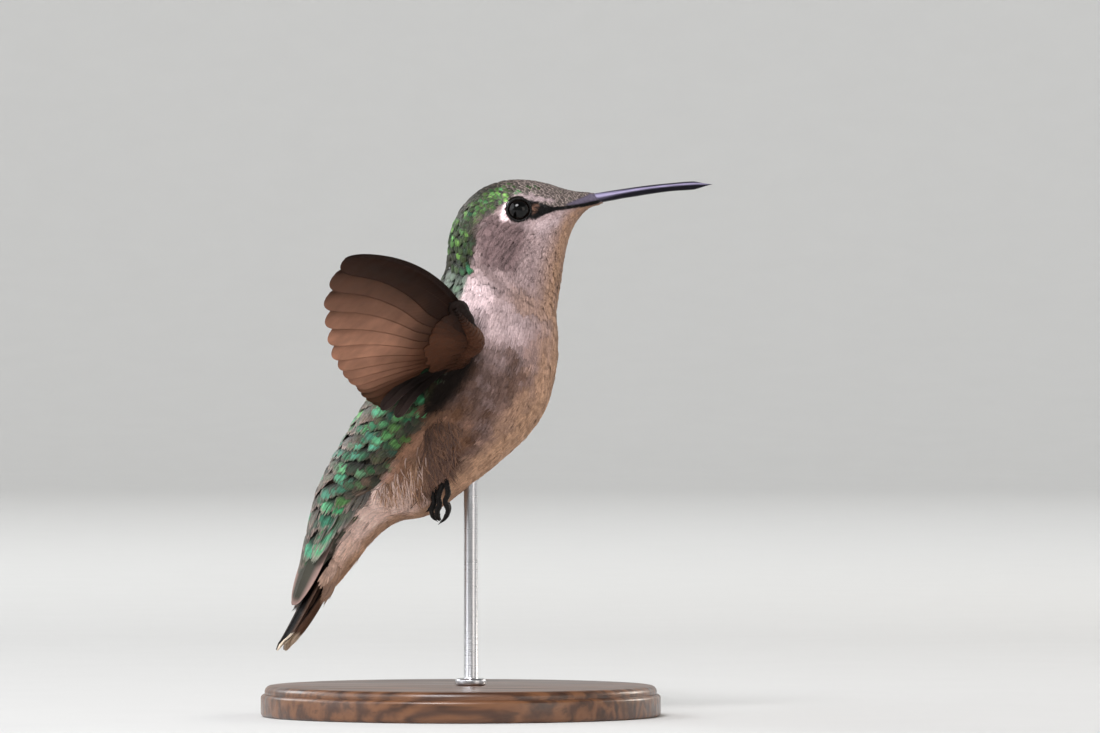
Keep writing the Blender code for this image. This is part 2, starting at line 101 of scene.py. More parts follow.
PRIMARIES, SECONDARIES, TERTIALS = 10, 6, 2
FLIGHT_RINGS = 34  # along each long feather of the wings and tail
LEAST_WIDTH = 0.03  # of half a vane, at its tip
WING_SWEEP, WING_RAISE, WING_PITCH = 21.0, 13.0, 36.0
SHOULDER = (-0.6, -5.0, 46.2)
ELBOW = (0.4, -7.6, 45.9)
FOREARM = (-0.2, -8.5, 47.6)
WRIST = (1.9, -12.0, 48.8)
FEATHER_ROOT = 0.6
PRIMARY_LENGTHS = [45.0, 42.2, 37.5, 32.4, 27.8, 24.2, 21.3, 19.4, 18.0, 16.8]
PRIMARY_ANGLES = [0.0, 3.5, 8.5, 14.0, 21.0, 29.0, 37.0, 45.0, 53.0, 61.0]
LAST_SECONDARY, LAST_SECONDARY_ANGLE = 12.2, 97.0
FEATHER_BEND, WING_CAMBER = 16.0, 1.6

RECTRIX_PAIRS = 5
RECTRIX_TIPS = [(-22.6, 1.3, 12.8), (-23.3, 2.6, 10.0), (-23.6, 3.6, 8.8), (-23.5, 4.4, 8.6),
    (-23.1, 5.0, 9.2)]
TAIL_ROOT = 18.62  # the section that the tail starts from
TAIL_ROLL, TAIL_EDGE, TAIL_DEPTH = 6.0, 98.0, 0.42
TAIL_NORMAL = (-0.96, 0.28)

TARSUS = [(-2.1, 3.4, 32.4), (-2.15, 4.4, 30.4)]
TOES = (
    [(-2.0, 4.3, 31.2), (-1.75, 4.9, 30.1), (-1.6, 5.3, 29.0), (-1.95, 5.4, 28.0), (-1.6, 5.4, 26.9),
        (-2.0, 5.2, 25.8), (-2.9, 5.0, 24.95)],
    [(-1.9, 4.3, 31.0), (-2.45, 4.8, 29.8), (-2.85, 4.9, 28.6), (-2.7, 4.8, 27.6), (-3.05, 4.7, 26.7),
        (-2.95, 4.6, 25.9), (-2.5, 4.5, 25.3)],
    [(-2.3, 4.2, 31.2), (-3.0, 4.3, 30.1), (-3.55, 4.2, 29.0), (-3.4, 4.2, 27.9), (-3.75, 4.2, 26.8),
        (-3.5, 4.1, 25.9), (-2.9, 4.1, 25.3)],
    [(-2.3, 4.1, 30.8), (-2.7, 4.0, 29.2), (-3.3, 4.0, 28.0), (-3.8, 4.0, 27.1), (-4.5, 4.0, 26.6)],
)
TARSUS_RADIUS, TOE_RADIUS, CLAW_RADIUS = 0.42, 0.28, 0.11

BASE_RADIUS, BASE_HEIGHT = 26.0, 4.0
ROD_X, ROD_RADIUS = 1.3, 0.9


# --- Numbers ---


def smooth(rows, at):
    """Rows of a table at fractional places, on one smooth curve that runs on straight past its ends."""
    rows = np.asarray(rows, float)
    at = np.asarray(at, float)
    ends = np.vstack([2 * rows[0] - rows[1], rows, 2 * rows[-1] - rows[-2]])
    i = np.clip(np.floor(at).astype(int), 0, len(rows) - 2)
    before, a, b, after = (ends[i + k] for k in range(4))
    t = np.clip(at - i, 0, 1)[..., None]
    value = a * (2 * t**3 - 3 * t**2 + 1) + b * (3 * t**2 - 2 * t**3)
    value = value + (b - before) / 2 * (t**3 - 2 * t**2 + t) + (after - a) / 2 * (t**3 - t**2)
    past = (at - np.clip(at, 0, len(rows) - 1))[..., None]
    return value + past * np.where(past > 0, rows[-1] - rows[-2], rows[1] - rows[0])


def step(low, high, value):
    """0 below low, 1 above high and a smooth rise between."""
    t = np.clip((value - low) / (high - low), 0, 1)
    return t * t * (3 - 2 * t)


def mix(a, b, share):
    """One colour or number turned into another by a share from 0 to 1."""
    share = np.asarray(share)[..., None]
    return np.asarray(a) * (1 - share) + np.asarray(b) * share


def unit(vectors):
    """Vectors made one long."""
    return vectors / np.maximum(np.linalg.norm(vectors, axis=-1, keepdims=True), 1e-9)


def paint(red, green, blue):
    """A colour given as on a screen, 0 to 255, as linear light."""
    screen = np.array([red, green, blue]) / 255
    return np.where(screen <= 0.04045, screen / 12.92, ((screen + 0.055) / 1.055) ** 2.4)


def noise(points, size, seed=0):
    """Smooth random values from 0 to 1 at points, with blobs about this many millimetres across."""
    places = np.asarray(points) / size + 100.0 + 17.3 * seed
    cell = np.floor(places).astype(np.int64)
    part = places - cell
    part = part * part * (3 - 2 * part)
    total = 0.0
    for corner in range(8):
        offset = np.array([corner & 1, corner >> 1 & 1, corner >> 2 & 1])
        x, y, z = np.moveaxis(cell + offset, -1, 0)
        mixed = (x * 73856093) ^ (y * 19349663) ^ (z * 83492791) ^ (seed * 2654435)
        value = ((mixed ^ (mixed >> 13)) * 1274126177 % 1000003) / 1000003
        total = total + value * np.prod(np.where(offset, part, 1 - part), axis=-1)
    return total


# --- Meshes ---


def ring_faces(count, rings, around, closed_ends=True):
    """Faces of count separate closed lofts, each of some rings of some points."""
    first = (np.arange(rings - 1)[:, None] * around + np.arange(around)[None]).ravel()
    nxt = (np.arange(rings - 1)[:, None] * around + (np.arange(around)[None] + 1) % around).ravel()
    quads = np.stack([first, nxt, nxt + around, first + around], -1)
    offsets = np.arange(count) * rings * around
    faces = (quads[None] + offsets[:, None, None]).reshape(-1, 4).tolist()
    if closed_ends:
        start = np.arange(around)[::-1]
        end = (rings - 1) * around + np.arange(around)
        faces += (start[None] + offsets[:, None]).tolist()
        faces += (end[None] + offsets[:, None]).tolist()
    return faces


def make_piece(name, points, faces, material, colours=None, maps=None, normals=None):
    """An object from points in millimetres, with a colour for each point and named UV maps."""
    mesh = bpy.data.meshes.new(name)
    flat = np.asarray(points, float).reshape(-1, 3) * MM
    mesh.from_pydata(flat.tolist(), [], faces)
    corner_point = np.empty(len(mesh.loops), dtype=np.int32)
    mesh.loops.foreach_get("vertex_index", corner_point)
    if colours is not None:
        layer = mesh.color_attributes.new("plume", "FLOAT_COLOR", "POINT")
        colours = np.asarray(colours, float).reshape(-1, colours.shape[-1])
        if colours.shape[1] == 3:
            colours = np.hstack([colours, np.ones((len(colours), 1))])
        layer.data.foreach_set("color", colours.astype(np.float32).ravel())
    for map_name, places in (maps or {}).items():
        layer = mesh.uv_layers.new(name=map_name)
        places = np.asarray(places, float).reshape(-1, 2)[corner_point]
        layer.data.foreach_set("uv", places.astype(np.float32).ravel())
    mesh.materials.append(material)
    mesh.polygons.foreach_set("use_smooth", np.ones(len(mesh.polygons), dtype=bool))
    mesh.update()
    if normals is not None:
        mesh.normals_split_custom_set_from_vertices(np.asarray(normals, np.float32).reshape(-1, 3))
    obj = bpy.data.objects.new(name, mesh)
    bpy.context.scene.collection.objects.link(obj)
    return obj


def sweep(points, radii, rings, around):
    """Rings of a round tube of changing radius along a smooth curve through points."""
    at = np.linspace(0, len(points) - 1, rings)
    line = smooth(points, at)
    radius = smooth([[value] for value in radii], at / (len(points) - 1) * (len(radii) - 1))
    along = unit(np.gradient(line, axis=0))
    side = np.empty_like(line)
    helper = np.array([0.0, 1.0, 0.0]) if abs(along[0][1]) < 0.8 else np.array([1.0, 0.0, 0.0])
    side[0] = unit(np.cross(along[0], helper))
    for i in range(1, rings):
        side[i] = unit(side[i - 1] - along[i] * np.dot(side[i - 1], along[i]))
    other = np.cross(along, side)
    turn = np.arange(around) * 2 * math.pi / around
    circle = np.cos(turn)[None, :, None] * side[:, None] + np.sin(turn)[None, :, None] * other[:, None]
    return line[:, None] + circle * radius[:, None]


def join(groups):
    """Points and faces of several groups of separate lofts, each shaped (count, rings, around, 3)."""
    points, faces, start = [], [], 0
    for group in groups:
        count, rings, around = group.shape[:3]
        for face in ring_faces(count, rings, around):
            faces.append([index + start for index in face])
        points.append(group.reshape(-1, 3))
        start += count * rings * around
    return np.vstack(points), faces


def on_side(points, side):
    """A right-hand piece's points, or their mirror image for the left (side 1)."""
    return np.asarray(points, float) * np.array([1.0, -side, 1.0])


# --- The body's surface and its markings ---


def body(section, angle, grow=0.0):
    """Points of the body's outline: angle 0 is the back and 90 degrees the bird's right side."""
    section, angle, grow = np.broadcast_arrays(section, angle, grow)
    rows = smooth(BODY_SECTIONS, section)
    back, under = rows[..., 0:2], rows[..., 2:4]
    width = np.maximum(rows[..., 4] + grow, 0.05)
    half = (back - under) / 2
    depth = np.linalg.norm(half, axis=-1, keepdims=True)
    tall = half / depth * np.maximum(depth + grow[..., None], 0.05)
    middle = (back + under) / 2 + tall * np.cos(angle)[..., None]
    side = -width * np.sin(angle) * (1 + rows[..., 5] * np.cos(angle))
    return np.stack([middle[..., 0], side, middle[..., 1]], -1)


def from_back(angle):
    """Degrees round from the middle of the back, the same on both sides."""
    return np.degrees(np.abs(np.mod(np.asarray(angle) + math.pi, 2 * math.pi) - math.pi))


def body_slopes(section, angle):
    """Change of place for one section and for one radian, at points of the outline."""
    small = 0.02
    along = (body(section + small, angle) - body(section - small, angle)) / (2 * small)
    around = (body(section, angle + small) - body(section, angle - small)) / (2 * small)
    return along, around


def coat_depth(section):
    """How thick the coat lies over the skin, by section."""
    return np.interp(section, COAT_AT, COAT_DEPTH)


def unwrap(section, angle):
    """The place of a point of the body on the flat map that skin and coat share."""
    u = 0.03 + 0.94 * np.asarray(section) / LAST_SECTION
    v = 0.03 + 0.94 * np.mod(angle, 2 * math.pi) / (2 * math.pi)
    return np.stack([u, v], -1)


WHITE = paint(214, 190, 192)
THROAT = paint(163, 141, 140)
PEACH_RIM_LIGHT = paint(180, 142, 116)
BREAST = paint(158, 132, 128)
GREY_BROWN = paint(94, 76, 72)
EAR = paint(126, 104, 104)
# Dusky brown for the thighs and the arm skin, also used as painted shadow under the wing.
DUSKY_AND_SHADOW = paint(20, 11, 6)
TAN = paint(198, 158, 130)
BUFF = paint(154, 114, 90)
VENT = paint(240, 208, 196)
LORE = paint(4, 3, 3)
RUSTY = paint(116, 86, 72)
FOREHEAD = paint(146, 132, 126)
GREEN = paint(104, 146, 72)
OLIVE = paint(40, 40, 22)
EMERALD = paint(66, 148, 98)
TURQUOISE = paint(90, 172, 146)


def green_share(section, angle, soft=3.0):
    """1 in the scaly plumage of the crown, back and rump, 0 in the soft plumage."""
    edge = smooth(GREEN_EDGE, section)[..., 0]
    return 1 - step(edge - soft, edge + soft, from_back(angle))


def patch(section, angle, at, round_to, long, wide, tilt=0.0, soft=0.45):
    """1 in an oval of the coat, falling to 0 at its edge; its sizes are in sections and tens of degrees."""
    turn = math.radians(tilt)
    ds, da = section - at, (from_back(angle) - round_to) / 10
    first = (ds * math.cos(turn) + da * math.sin(turn)) / long
    second = (da * math.cos(turn) - ds * math.sin(turn)) / wide
    return 1 - step(1 - soft, 1 + soft, np.hypot(first, second))


def region(points, corners, soft):
    """1 inside a shape on the side of the head, given by millimetres ahead of and above the eye."""
    corners = np.asarray(corners, float)
    place = (points - EYE_CENTRE)[..., [0, 2]]
    inside, nearest = np.zeros(place.shape[:-1], bool), np.full(place.shape[:-1], 1e9)
    for (ax, az), (bx, bz) in zip(corners, np.roll(corners, -1, axis=0)):
        along = np.array([bx - ax, bz - az])
        share = np.clip(((place - (ax, az)) @ along) / (along @ along), 0, 1)
        nearest = np.minimum(nearest, np.linalg.norm(place - (ax, az) - share[..., None] * along, axis=-1))
        crosses = (az > place[..., 1]) != (bz > place[..., 1])
        level = ax + (place[..., 1] - az) * (bx - ax) / (bz - az if bz != az else 1e-9)
        inside ^= crosses & (place[..., 0] < level)
    return step(-soft, soft, np.where(inside, nearest, -nearest))


def underparts(points, section, angle):
    """Colours of the throat, cheeks, breast, flanks and belly."""
    body_share = step(8.5, 11.0, section)
    section = section + 0.9 * (noise(points, 1.4, 17) - 0.5) * body_share
    low = from_back(angle) + 22 * (noise(points, 1.3, 18) - 0.5) * body_share
    blotch, streaky = noise(points, 1.9, 1), noise(points * np.array([1.0, 1.0, 0.35]), 0.55, 6)
    soft = noise(points, 1.1, 16)
    front = np.interp(section, [0, 2, 5, 9, 12, 13.5], [96, 108, 124, 132, 142, 132])
    colour = mix(THROAT, BREAST, step(9.5, 12.5, section) * step(105, 135, low))
    colour = mix(colour, TAN * 0.86, step(12.6, 14.2, section) * step(112, 150, low))
    # The front edge of the throat and breast takes the peach: painted warm rim light.
    colour = mix(colour, PEACH_RIM_LIGHT, step(front - 14, front + 24, low) * (1 - step(13, 15, section)) * 0.95)
    # Past that edge the throat is darker underneath: painted shade.
    colour = colour * (1 - 0.22 * step(front, front + 50, low) * (1 - step(12, 14, section)))[..., None]
    # A darker patch of the painted rim light, low on the front of the neck.
    colour = mix(colour, PEACH_RIM_LIGHT * 0.7, patch(section, angle, 10.3, 124, 1.1, 2.4) * 0.55)
    colour = mix(colour, GREY_BROWN, patch(section, angle, 10.0, 84, 0.5, 2.4, -10) * 0.25)
    mottled = step(12.4, 13.4, section) * (1 - step(16.6, 17.4, section)) * (1 - step(112, 150, low))
    flank = mix(GREY_BROWN, paint(92, 64, 47), step(12.6, 14.0, section))
    colour = mix(colour, flank, mottled * (0.42 + 0.65 * blotch))
    colour = mix(colour, flank * 0.5, mottled * step(0.5, 0.8, streaky) * 0.35)
    colour = mix(colour, THROAT, mottled * step(0.50, 0.75, soft) * 0.5 * (1 - step(13.8, 15.2, section)))
    colour = mix(colour, flank * 0.95, patch(section, angle, 13.9, 110, 0.9, 2.8) * 0.25)
    colour = mix(colour, BUFF, patch(section, angle, 16.3, 92, 1.2, 2.4) * (0.6 + 0.4 * blotch))
    colour = mix(colour, TAN, step(14.4, 15.6, section) * step(124, 150, low) * 0.9)
    colour = mix(colour, VENT, step(17.3, 18.0, section) * (1 - step(128, 160, low)))
    colour = mix(colour, TAN, step(17.4, 18.6, section) * step(118, 160, low) * 0.8)
    colour = mix(colour, TAN * 0.9, step(19.8, 22.0, section) * 0.85)
    colour = mix(colour, WHITE * 1.12, patch(section, angle, 11.4, 64, 1.2, 1.9, 12, 0.4))
    colour = mix(colour, WHITE, patch(section, angle, 12.0, 98, 0.8, 3.2, 8) * 0.4)
    colour = mix(colour, VENT, patch(section, angle, 19.6, 96, 1.3, 0.9, 14) * 0.7)
    # Dark under the wing's root: a painted shadow.
    colour = mix(colour, DUSKY_AND_SHADOW, patch(section, angle, 14.2, 70, 1.9, 1.9, 0, 0.35))
    # Darker at the front of the neck's base: painted shade.
    colour = mix(colour, THROAT * 0.72, patch(section, angle, 11.4, 118, 0.45, 3.2, 8) * 0.45)
    thigh = np.exp(-((points[..., 0] + 1.6) ** 2 + (points[..., 2] - 33.4) ** 2) / 3.2)
    colour = mix(colour, DUSKY_AND_SHADOW, thigh * 0.7)
    streak = step(0.52, 0.8, noise(points * np.array([1.0, 1.0, 0.25]), 0.3, 5)) * (1 - step(9, 12, section))
    return mix(colour, EAR, streak * 0.3)


def upperparts(points, section, angle):
    """Colours of the forehead, crown, back and rump, before each feather's own pattern."""
    low = from_back(angle)
    blotch = noise(points, 1.6, 3)
    colour = mix(FOREHEAD, OLIVE, step(4.0, 6.2, section) * (0.6 + 0.4 * blotch))
    colour = mix(colour, OLIVE, step(7.2, 8.4, section))
    colour = mix(colour, mix(FOREHEAD, TURQUOISE, 0.3), patch(section, angle, 11.4, 40, 0.7, 2.0))
    # Greyer along the middle of the back: partly the feathers' own grey, partly painted light, the grey the
    # green shows where light meets it at a slant.
    grey = step(15.0, 16.5, section) * (1 - step(20, 50, low)) * 0.6
    colour = mix(colour, FOREHEAD * 0.8, grey)
    brown = step(14.2, 15.6, section) * (1 - step(18.4, 20.0, section)) * step(0.35, 0.75, blotch)
    colour = mix(colour, RUSTY * 0.85, brown * 0.7)
    return mix(colour, FOREHEAD * 0.5, step(18.0, 19.0, section) * 0.4)


def glint(section, angle):
    """How much of the green gloss shows here, from none on the forehead to all of it on the nape."""
    share = patch(section, angle, 6.6, 36, 2.7, 1.3, -20) * 0.75
    places = (
        (9.0, 10, 0.8, 4.2, 0.85),
        (10.0, 40, 0.9, 1.6, 0.30),
        (11.4, 44, 0.6, 1.3, 0.70),
        (14.0, 30, 1.8, 5.0, 0.40),
        (15.2, 0, 3.6, 2.2, 0.55),
        (16.2, 60, 1.3, 1.6, 0.50),
        (17.3, 46, 1.2, 2.1, 0.80),
        (19.6, 54, 1.1, 1.9, 0.90),
        (21.4, 60, 1.1, 2.4, 0.95),
    )
    for at, round_to, long, wide, most in places:
        share = np.maximum(share, patch(section, angle, at, round_to, long, wide) * most)
    return np.maximum(share, 0.16 * step(12.5, 15, section))


def face_marks(points, colour):
    """The side of the face, by places ahead of and above the eye: ear coverts, lores, brow and white spot."""
    ragged = points + 0.9 * (noise(points, 0.45, 8) - 0.5)[..., None]
    aside = step(0.45, 0.75, np.abs(points[..., 1]))
    ear = region(ragged, [(-5.4, -1.2), (-2.4, -0.9), (1.2, -1.9), (0.6, -4.6), (-0.8, -8.0), (-4.6, -6.6)],
        1.0)
    dark = region(ragged, [(-1.6, -1.6), (1.0, -2.0), (0.2, -4.6), (-1.0, -7.6), (-3.0, -6.6),
        (-2.2, -3.6)], 1.2)
    turned = points @ np.array([[0.8, 0, 0.6], [0, 1, 0], [-0.6, 0, 0.8]])
    streaks = step(0.35, 0.70, noise(turned * np.array([1.0, 0.4, 0.22]), 0.21, 4))
    colour = mix(colour, EAR * (1.15 - 0.5 * streaks)[..., None], ear * 0.9)
    colour = mix(colour, EAR * 0.40, dark * (0.15 + 0.4 * streaks))
    malar = region(ragged, [(0.5, -1.9), (2.6, -1.1), (5.6, -0.4), (5.2, -1.7), (2.6, -3.1)], 0.9)
    colour = mix(colour, WHITE * 0.8, malar * (0.6 - 0.4 * streaks))
    brow = region(ragged, [(-0.6, 1.55), (1.2, 1.5), (4.6, 1.05), (4.4, 1.7), (1.0, 2.1), (-0.6, 2.0)], 0.35)
    colour = mix(colour, WHITE * 0.7, brow * 0.75 * aside)
    # Feathers over the bill's base take the bill's lilac grey: a painted highlight on black horn.
    horn = [(6.3, 0.72), (7.3, 1.25), (8.6, 1.75), (9.7, 2.35), (10.0, 4.0), (13.0, 4.0), (13.0, 1.3),
        (10.9, 1.05), (8.4, 0.7)]
    colour = mix(colour, paint(96, 88, 106), region(points, horn, 0.2))
    lore = [(0.8, 1.4), (1.9, 1.2), (3.2, 0.78), (4.9, 0.42), (6.4, 0.6), (8.4, 0.95), (10.8, 1.5),
        (10.8, 1.0)]
    lore += [(8.4, 0.45), (6.6, 0.2), (4.9, -0.06), (3.5, -0.55), (2.5, -1.05), (1.0, -1.35)]
    colour = mix(colour, LORE, region(points, lore, 0.12) * aside)
    fleck = region(ragged, [(1.75, 0.72), (2.5, 0.5), (2.6, 0.05), (2.2, -0.32), (1.8, -0.2)], 0.22)
    colour = mix(colour, RUSTY, fleck * 0.9)
    spot_behind = [(-1.0, 1.2), (-1.6, 1.0), (-2.1, 0.3), (-2.3, -0.6), (-2.0, -1.5), (-1.1, -1.2),
        (-0.9, 0.6)]
    colour = mix(colour, WHITE * 1.9, region(points + 0.4 * (ragged - points), spot_behind, 0.18))
    rim = np.hypot(points[..., 0] - EYE_CENTRE[0], points[..., 2] - EYE_CENTRE[2])
    return mix(colour, LORE, (1 - step(EYE_OPENING + 0.06, EYE_OPENING + 0.18, rim)) * aside)


def plumage(section, angle, points=None):
    """The markings at points of the body, which skin and coat both take."""
    section, angle = np.broadcast_arrays(section, angle)
    points = body(section, angle) if points is None else points
    below, above = underparts(points, section, angle), upperparts(points, section, angle)
    colour = mix(below, above, green_share(section, angle))
    return np.where((section < FACE_END)[..., None], face_marks(points, colour), colour)


# --- Materials ---


class Nodes:
    """A new material's node tree, with short ways to add and join nodes."""

    def __init__(self, name, **values):
        self.material = bpy.data.materials.new(name)
        self.material.use_nodes = True
        self.tree = self.material.node_tree
        self.shader = self.tree.nodes["Principled BSDF"]
        for key, value in values.items():
            self.shader.inputs[key.replace("_", " ")].default_value = value

    def add(self, kind, **values):
        node = self.tree.nodes.new("ShaderNode" + kind)
        for key, value in values.items():
            if hasattr(node, key):
                setattr(node, key, value)
            else:
                node.inputs[key.replace("_", " ")].default_value = value
        return node

    def link(self, source, target):
        self.tree.links.new(source, target)

    def attribute(self):
        return self.add("Attribute", attribute_name="plume")

    def object_noise(self, scale, detail=3.0, stretch=(1, 1, 1)):
        place = self.add("TexCoord")
        mapping = self.add("Mapping")
        mapping.inputs["Scale"].default_value = stretch
        texture = self.add("TexNoise", Scale=scale, Detail=detail)
        self.link(place.outputs["Object"], mapping.inputs["Vector"])
        self.link(mapping.outputs["Vector"], texture.inputs["Vector"])
        return texture.outputs["Fac"]

    def range(self, value, low, high, source=(0.3, 0.7)):
        node = self.add("MapRange")
        node.inputs["From Min"].default_value, node.inputs["From Max"].default_value = source
        node.inputs["To Min"].default_value, node.inputs["To Max"].default_value = low, high
        self.link(value, node.inputs["Value"])
        return node.outputs["Result"]

    def math(self, operation, first, second):
        node = self.add("Math", operation=operation)
        for value, socket in zip((first, second), node.inputs):
            if isinstance(value, (int, float)):
                socket.default_value = value
            else:
                self.link(value, socket)
        return node.outputs[0]

    def mix_colour(self, share, first, second, blend="MIX"):
        node = self.add("Mix", data_type="RGBA", blend_type=blend)
        for value, socket in ((share, node.inputs[0]), (first, node.inputs[6]), (second, node.inputs[7])):
            if isinstance(value, (int, float)):
                socket.default_value = value
            elif isinstance(value, (tuple, list, np.ndarray)):
                socket.default_value = (*value, 1.0)
            else:
                self.link(value, socket)
        return node.outputs[2]

    def base(self, colour):
        self.link(colour, self.shader.inputs["Base Color"])

    def bump(self, height, distance):
        node = self.add("Bump", Strength=1.0, Distance=distance * MM)
        self.link(height, node.inputs["Height"])
        self.link(node.outputs["Normal"], self.shader.inputs["Normal"])


def skin_material():
    """Bare skin under the coat: the coat's own markings, a little darker, with fine pores."""
    nodes = Nodes("skin", Roughness=0.75)
    pores = nodes.object_noise(2600)
    shade = nodes.range(pores, 0.6, 0.85)
    nodes.base(nodes.mix_colour(1.0, nodes.attribute().outputs["Color"], shade, "MULTIPLY"))
    nodes.bump(pores, 0.05)
    return nodes.material


def soft_material():
    """Loose barbs: a matt coat with a faint sheen and a grain finer than the barbs."""
    nodes = Nodes("soft_plumage", Roughness=0.8, Specular_IOR_Level=0.2, Sheen_Weight=0.06,
        Sheen_Roughness=0.4)
    grain = nodes.object_noise(3800)
    shade = nodes.range(grain, 0.82, 1.12)
    nodes.base(nodes.mix_colour(1.0, nodes.attribute().outputs["Color"], shade, "MULTIPLY"))
    nodes.bump(grain, 0.03)
    return nodes.material


def barb_lines(nodes, count, slant):
    """Fine lines that slant from the shaft to the tip, from the vane's own map."""
    place = nodes.add("UVMap", uv_map="vane")
    split = nodes.add("SeparateXYZ")
    nodes.link(place.outputs["UV"], split.inputs["Vector"])
    from_shaft = nodes.math("ABSOLUTE", nodes.math("SUBTRACT", split.outputs["X"], 0.5), 0.0)
    slanted = nodes.math("SUBTRACT", split.outputs["Y"], nodes.math("MULTIPLY", from_shaft, slant))
    wave = nodes.math("SINE", nodes.math("MULTIPLY", slanted, count * 2 * math.pi), 0.0)
    return nodes.range(wave, 0.0, 1.0, (-1.0, 1.0))


def scale_material():
    """Glossy green feathers: metallic where the plume colour's alpha says, with a fine grain."""
    nodes = Nodes("scaly_plumage", Roughness=0.42, Specular_IOR_Level=0.3)
    attribute = nodes.attribute()
    grain = nodes.object_noise(2600)
    nodes.base(nodes.mix_colour(1.0, attribute.outputs["Color"], nodes.range(grain, 0.8, 1.15), "MULTIPLY"))
    nodes.link(attribute.outputs["Alpha"], nodes.shader.inputs["Metallic"])
    nodes.link(nodes.range(grain, 0.36, 0.55), nodes.shader.inputs["Roughness"])
    nodes.bump(grain, 0.03)
    return nodes.material


def vane_material(name, roughness, through):
    """Stiff flight feathers: barbs either side of a dark shaft, and some light coming through."""
    nodes = Nodes(name, Roughness=roughness, Specular_IOR_Level=0.08)
    attribute = nodes.attribute()
    barbs = barb_lines(nodes, 70, 0.4)
    uneven = nodes.object_noise(420, 4.0)
    shade = nodes.math("MULTIPLY", nodes.range(barbs, 0.84, 1.08, (0.0, 1.0)), nodes.range(uneven, 0.85, 1.15))
    colour = nodes.mix_colour(1.0, attribute.outputs["Color"], shade, "MULTIPLY")
    nodes.base(colour)
    nodes.link(nodes.range(uneven, roughness - 0.08, roughness + 0.1), nodes.shader.inputs["Roughness"])
    nodes.bump(barbs, 0.025)
    if through:
        behind = nodes.add("BsdfTranslucent")
        nodes.link(nodes.mix_colour(0.5, colour, paint(150, 112, 92)), behind.inputs["Color"])
        both = nodes.add("MixShader")
        both.inputs[0].default_value = through
        nodes.link(nodes.shader.outputs[0], both.inputs[1])
        nodes.link(behind.outputs[0], both.inputs[2])
        output = nodes.tree.nodes["Material Output"]
        nodes.link(both.outputs[0], output.inputs["Surface"])
    return nodes.material


def bill_material():
    """Smooth dark horn with fine growth lines along it."""
    nodes = Nodes("bill_horn", Roughness=0.28, Specular_IOR_Level=0.22, Specular_Tint=(0.78, 0.74, 1.0, 1.0))
    streaks = nodes.object_noise(700, 3.0, (0.08, 1, 1))
    shade = nodes.range(streaks, 0.75, 1.2)
    nodes.base(nodes.mix_colour(1.0, nodes.attribute().outputs["Color"], shade, "MULTIPLY"))
    nodes.link(nodes.range(streaks, 0.24, 0.36), nodes.shader.inputs["Roughness"])
    nodes.bump(streaks, 0.006)
    return nodes.material


def eye_material():
    """A wet black eye: a pupil and a scarcely lighter brown iris round it."""
    nodes = Nodes("eye_wet", Roughness=0.04, IOR=1.38, Specular_IOR_Level=0.45)
    place = nodes.add("UVMap", uv_map="iris")
    split = nodes.add("SeparateXYZ")
    nodes.link(place.outputs["UV"], split.inputs["Vector"])
    rays = nodes.object_noise(1800, 2.0)
    iris = nodes.mix_colour(nodes.range(rays, 0.0, 1.0), paint(7, 4, 3), paint(16, 9, 6))
    edge = nodes.range(split.outputs["X"], 0.0, 1.0, (0.50, 0.58))
    nodes.base(nodes.mix_colour(edge, paint(2, 2, 2), iris))
    return nodes.material


def dark_skin_material(name, low, high, scale):
    """Dark pebbled skin for the eyelids, and scutes for the feet."""
    nodes = Nodes(name, Roughness=0.5, Specular_IOR_Level=0.25)
    cells = nodes.add("TexVoronoi", Scale=scale)
    place = nodes.add("TexCoord")
    nodes.link(place.outputs["Object"], cells.inputs["Vector"])
    nodes.base(nodes.mix_colour(nodes.range(cells.outputs["Distance"], 0.0, 1.0, (0.1, 0.6)), high, low))
    nodes.link(nodes.range(cells.outputs["Distance"], 0.38, 0.65, (0.1, 0.6)),
        nodes.shader.inputs["Roughness"])
    nodes.bump(cells.outputs["Distance"], -0.05)
    return nodes.material


def covert_material():
    """The wing's coverts: short vanes with steep barbs, glossy where the colour's alpha says."""
    nodes = Nodes("covert_vanes", Roughness=0.5, Specular_IOR_Level=0.1)
    attribute = nodes.attribute()
    barbs = barb_lines(nodes, 16, 1.5)
    uneven = nodes.object_noise(1500)
    shade = nodes.math("MULTIPLY", nodes.range(barbs, 0.88, 1.06, (0.0, 1.0)), nodes.range(uneven, 0.8, 1.15))
    nodes.base(nodes.mix_colour(1.0, attribute.outputs["Color"], shade, "MULTIPLY"))
    nodes.link(attribute.outputs["Alpha"], nodes.shader.inputs["Metallic"])
    nodes.link(nodes.range(uneven, 0.45, 0.65), nodes.shader.inputs["Roughness"])
    nodes.bump(barbs, 0.012)
    return nodes.material


def wood_material():
    """Turned walnut: growth bands, long pores and a satin varnish."""
    nodes = Nodes("walnut", Coat_Weight=0.35, Coat_Roughness=0.25)
    bands = nodes.object_noise(55, 5.0, (0.25, 2.6, 1.2))
    pores = nodes.object_noise(900, 3.0, (0.06, 1, 1))
    wave = nodes.math("SINE", nodes.math("MULTIPLY", bands, 60.0), 0.0)
    colour = nodes.mix_colour(nodes.range(wave, 0.0, 1.0, (-1.0, 1.0)), paint(72, 44, 28), paint(116, 76, 48))
    colour = nodes.mix_colour(nodes.range(pores, 0.55, 0.0, (0.32, 0.46)), colour, paint(38, 22, 14))
    nodes.base(colour)
    nodes.link(nodes.range(pores, 0.3, 0.5), nodes.shader.inputs["Roughness"])
    nodes.bump(pores, 0.04)
    return nodes.material


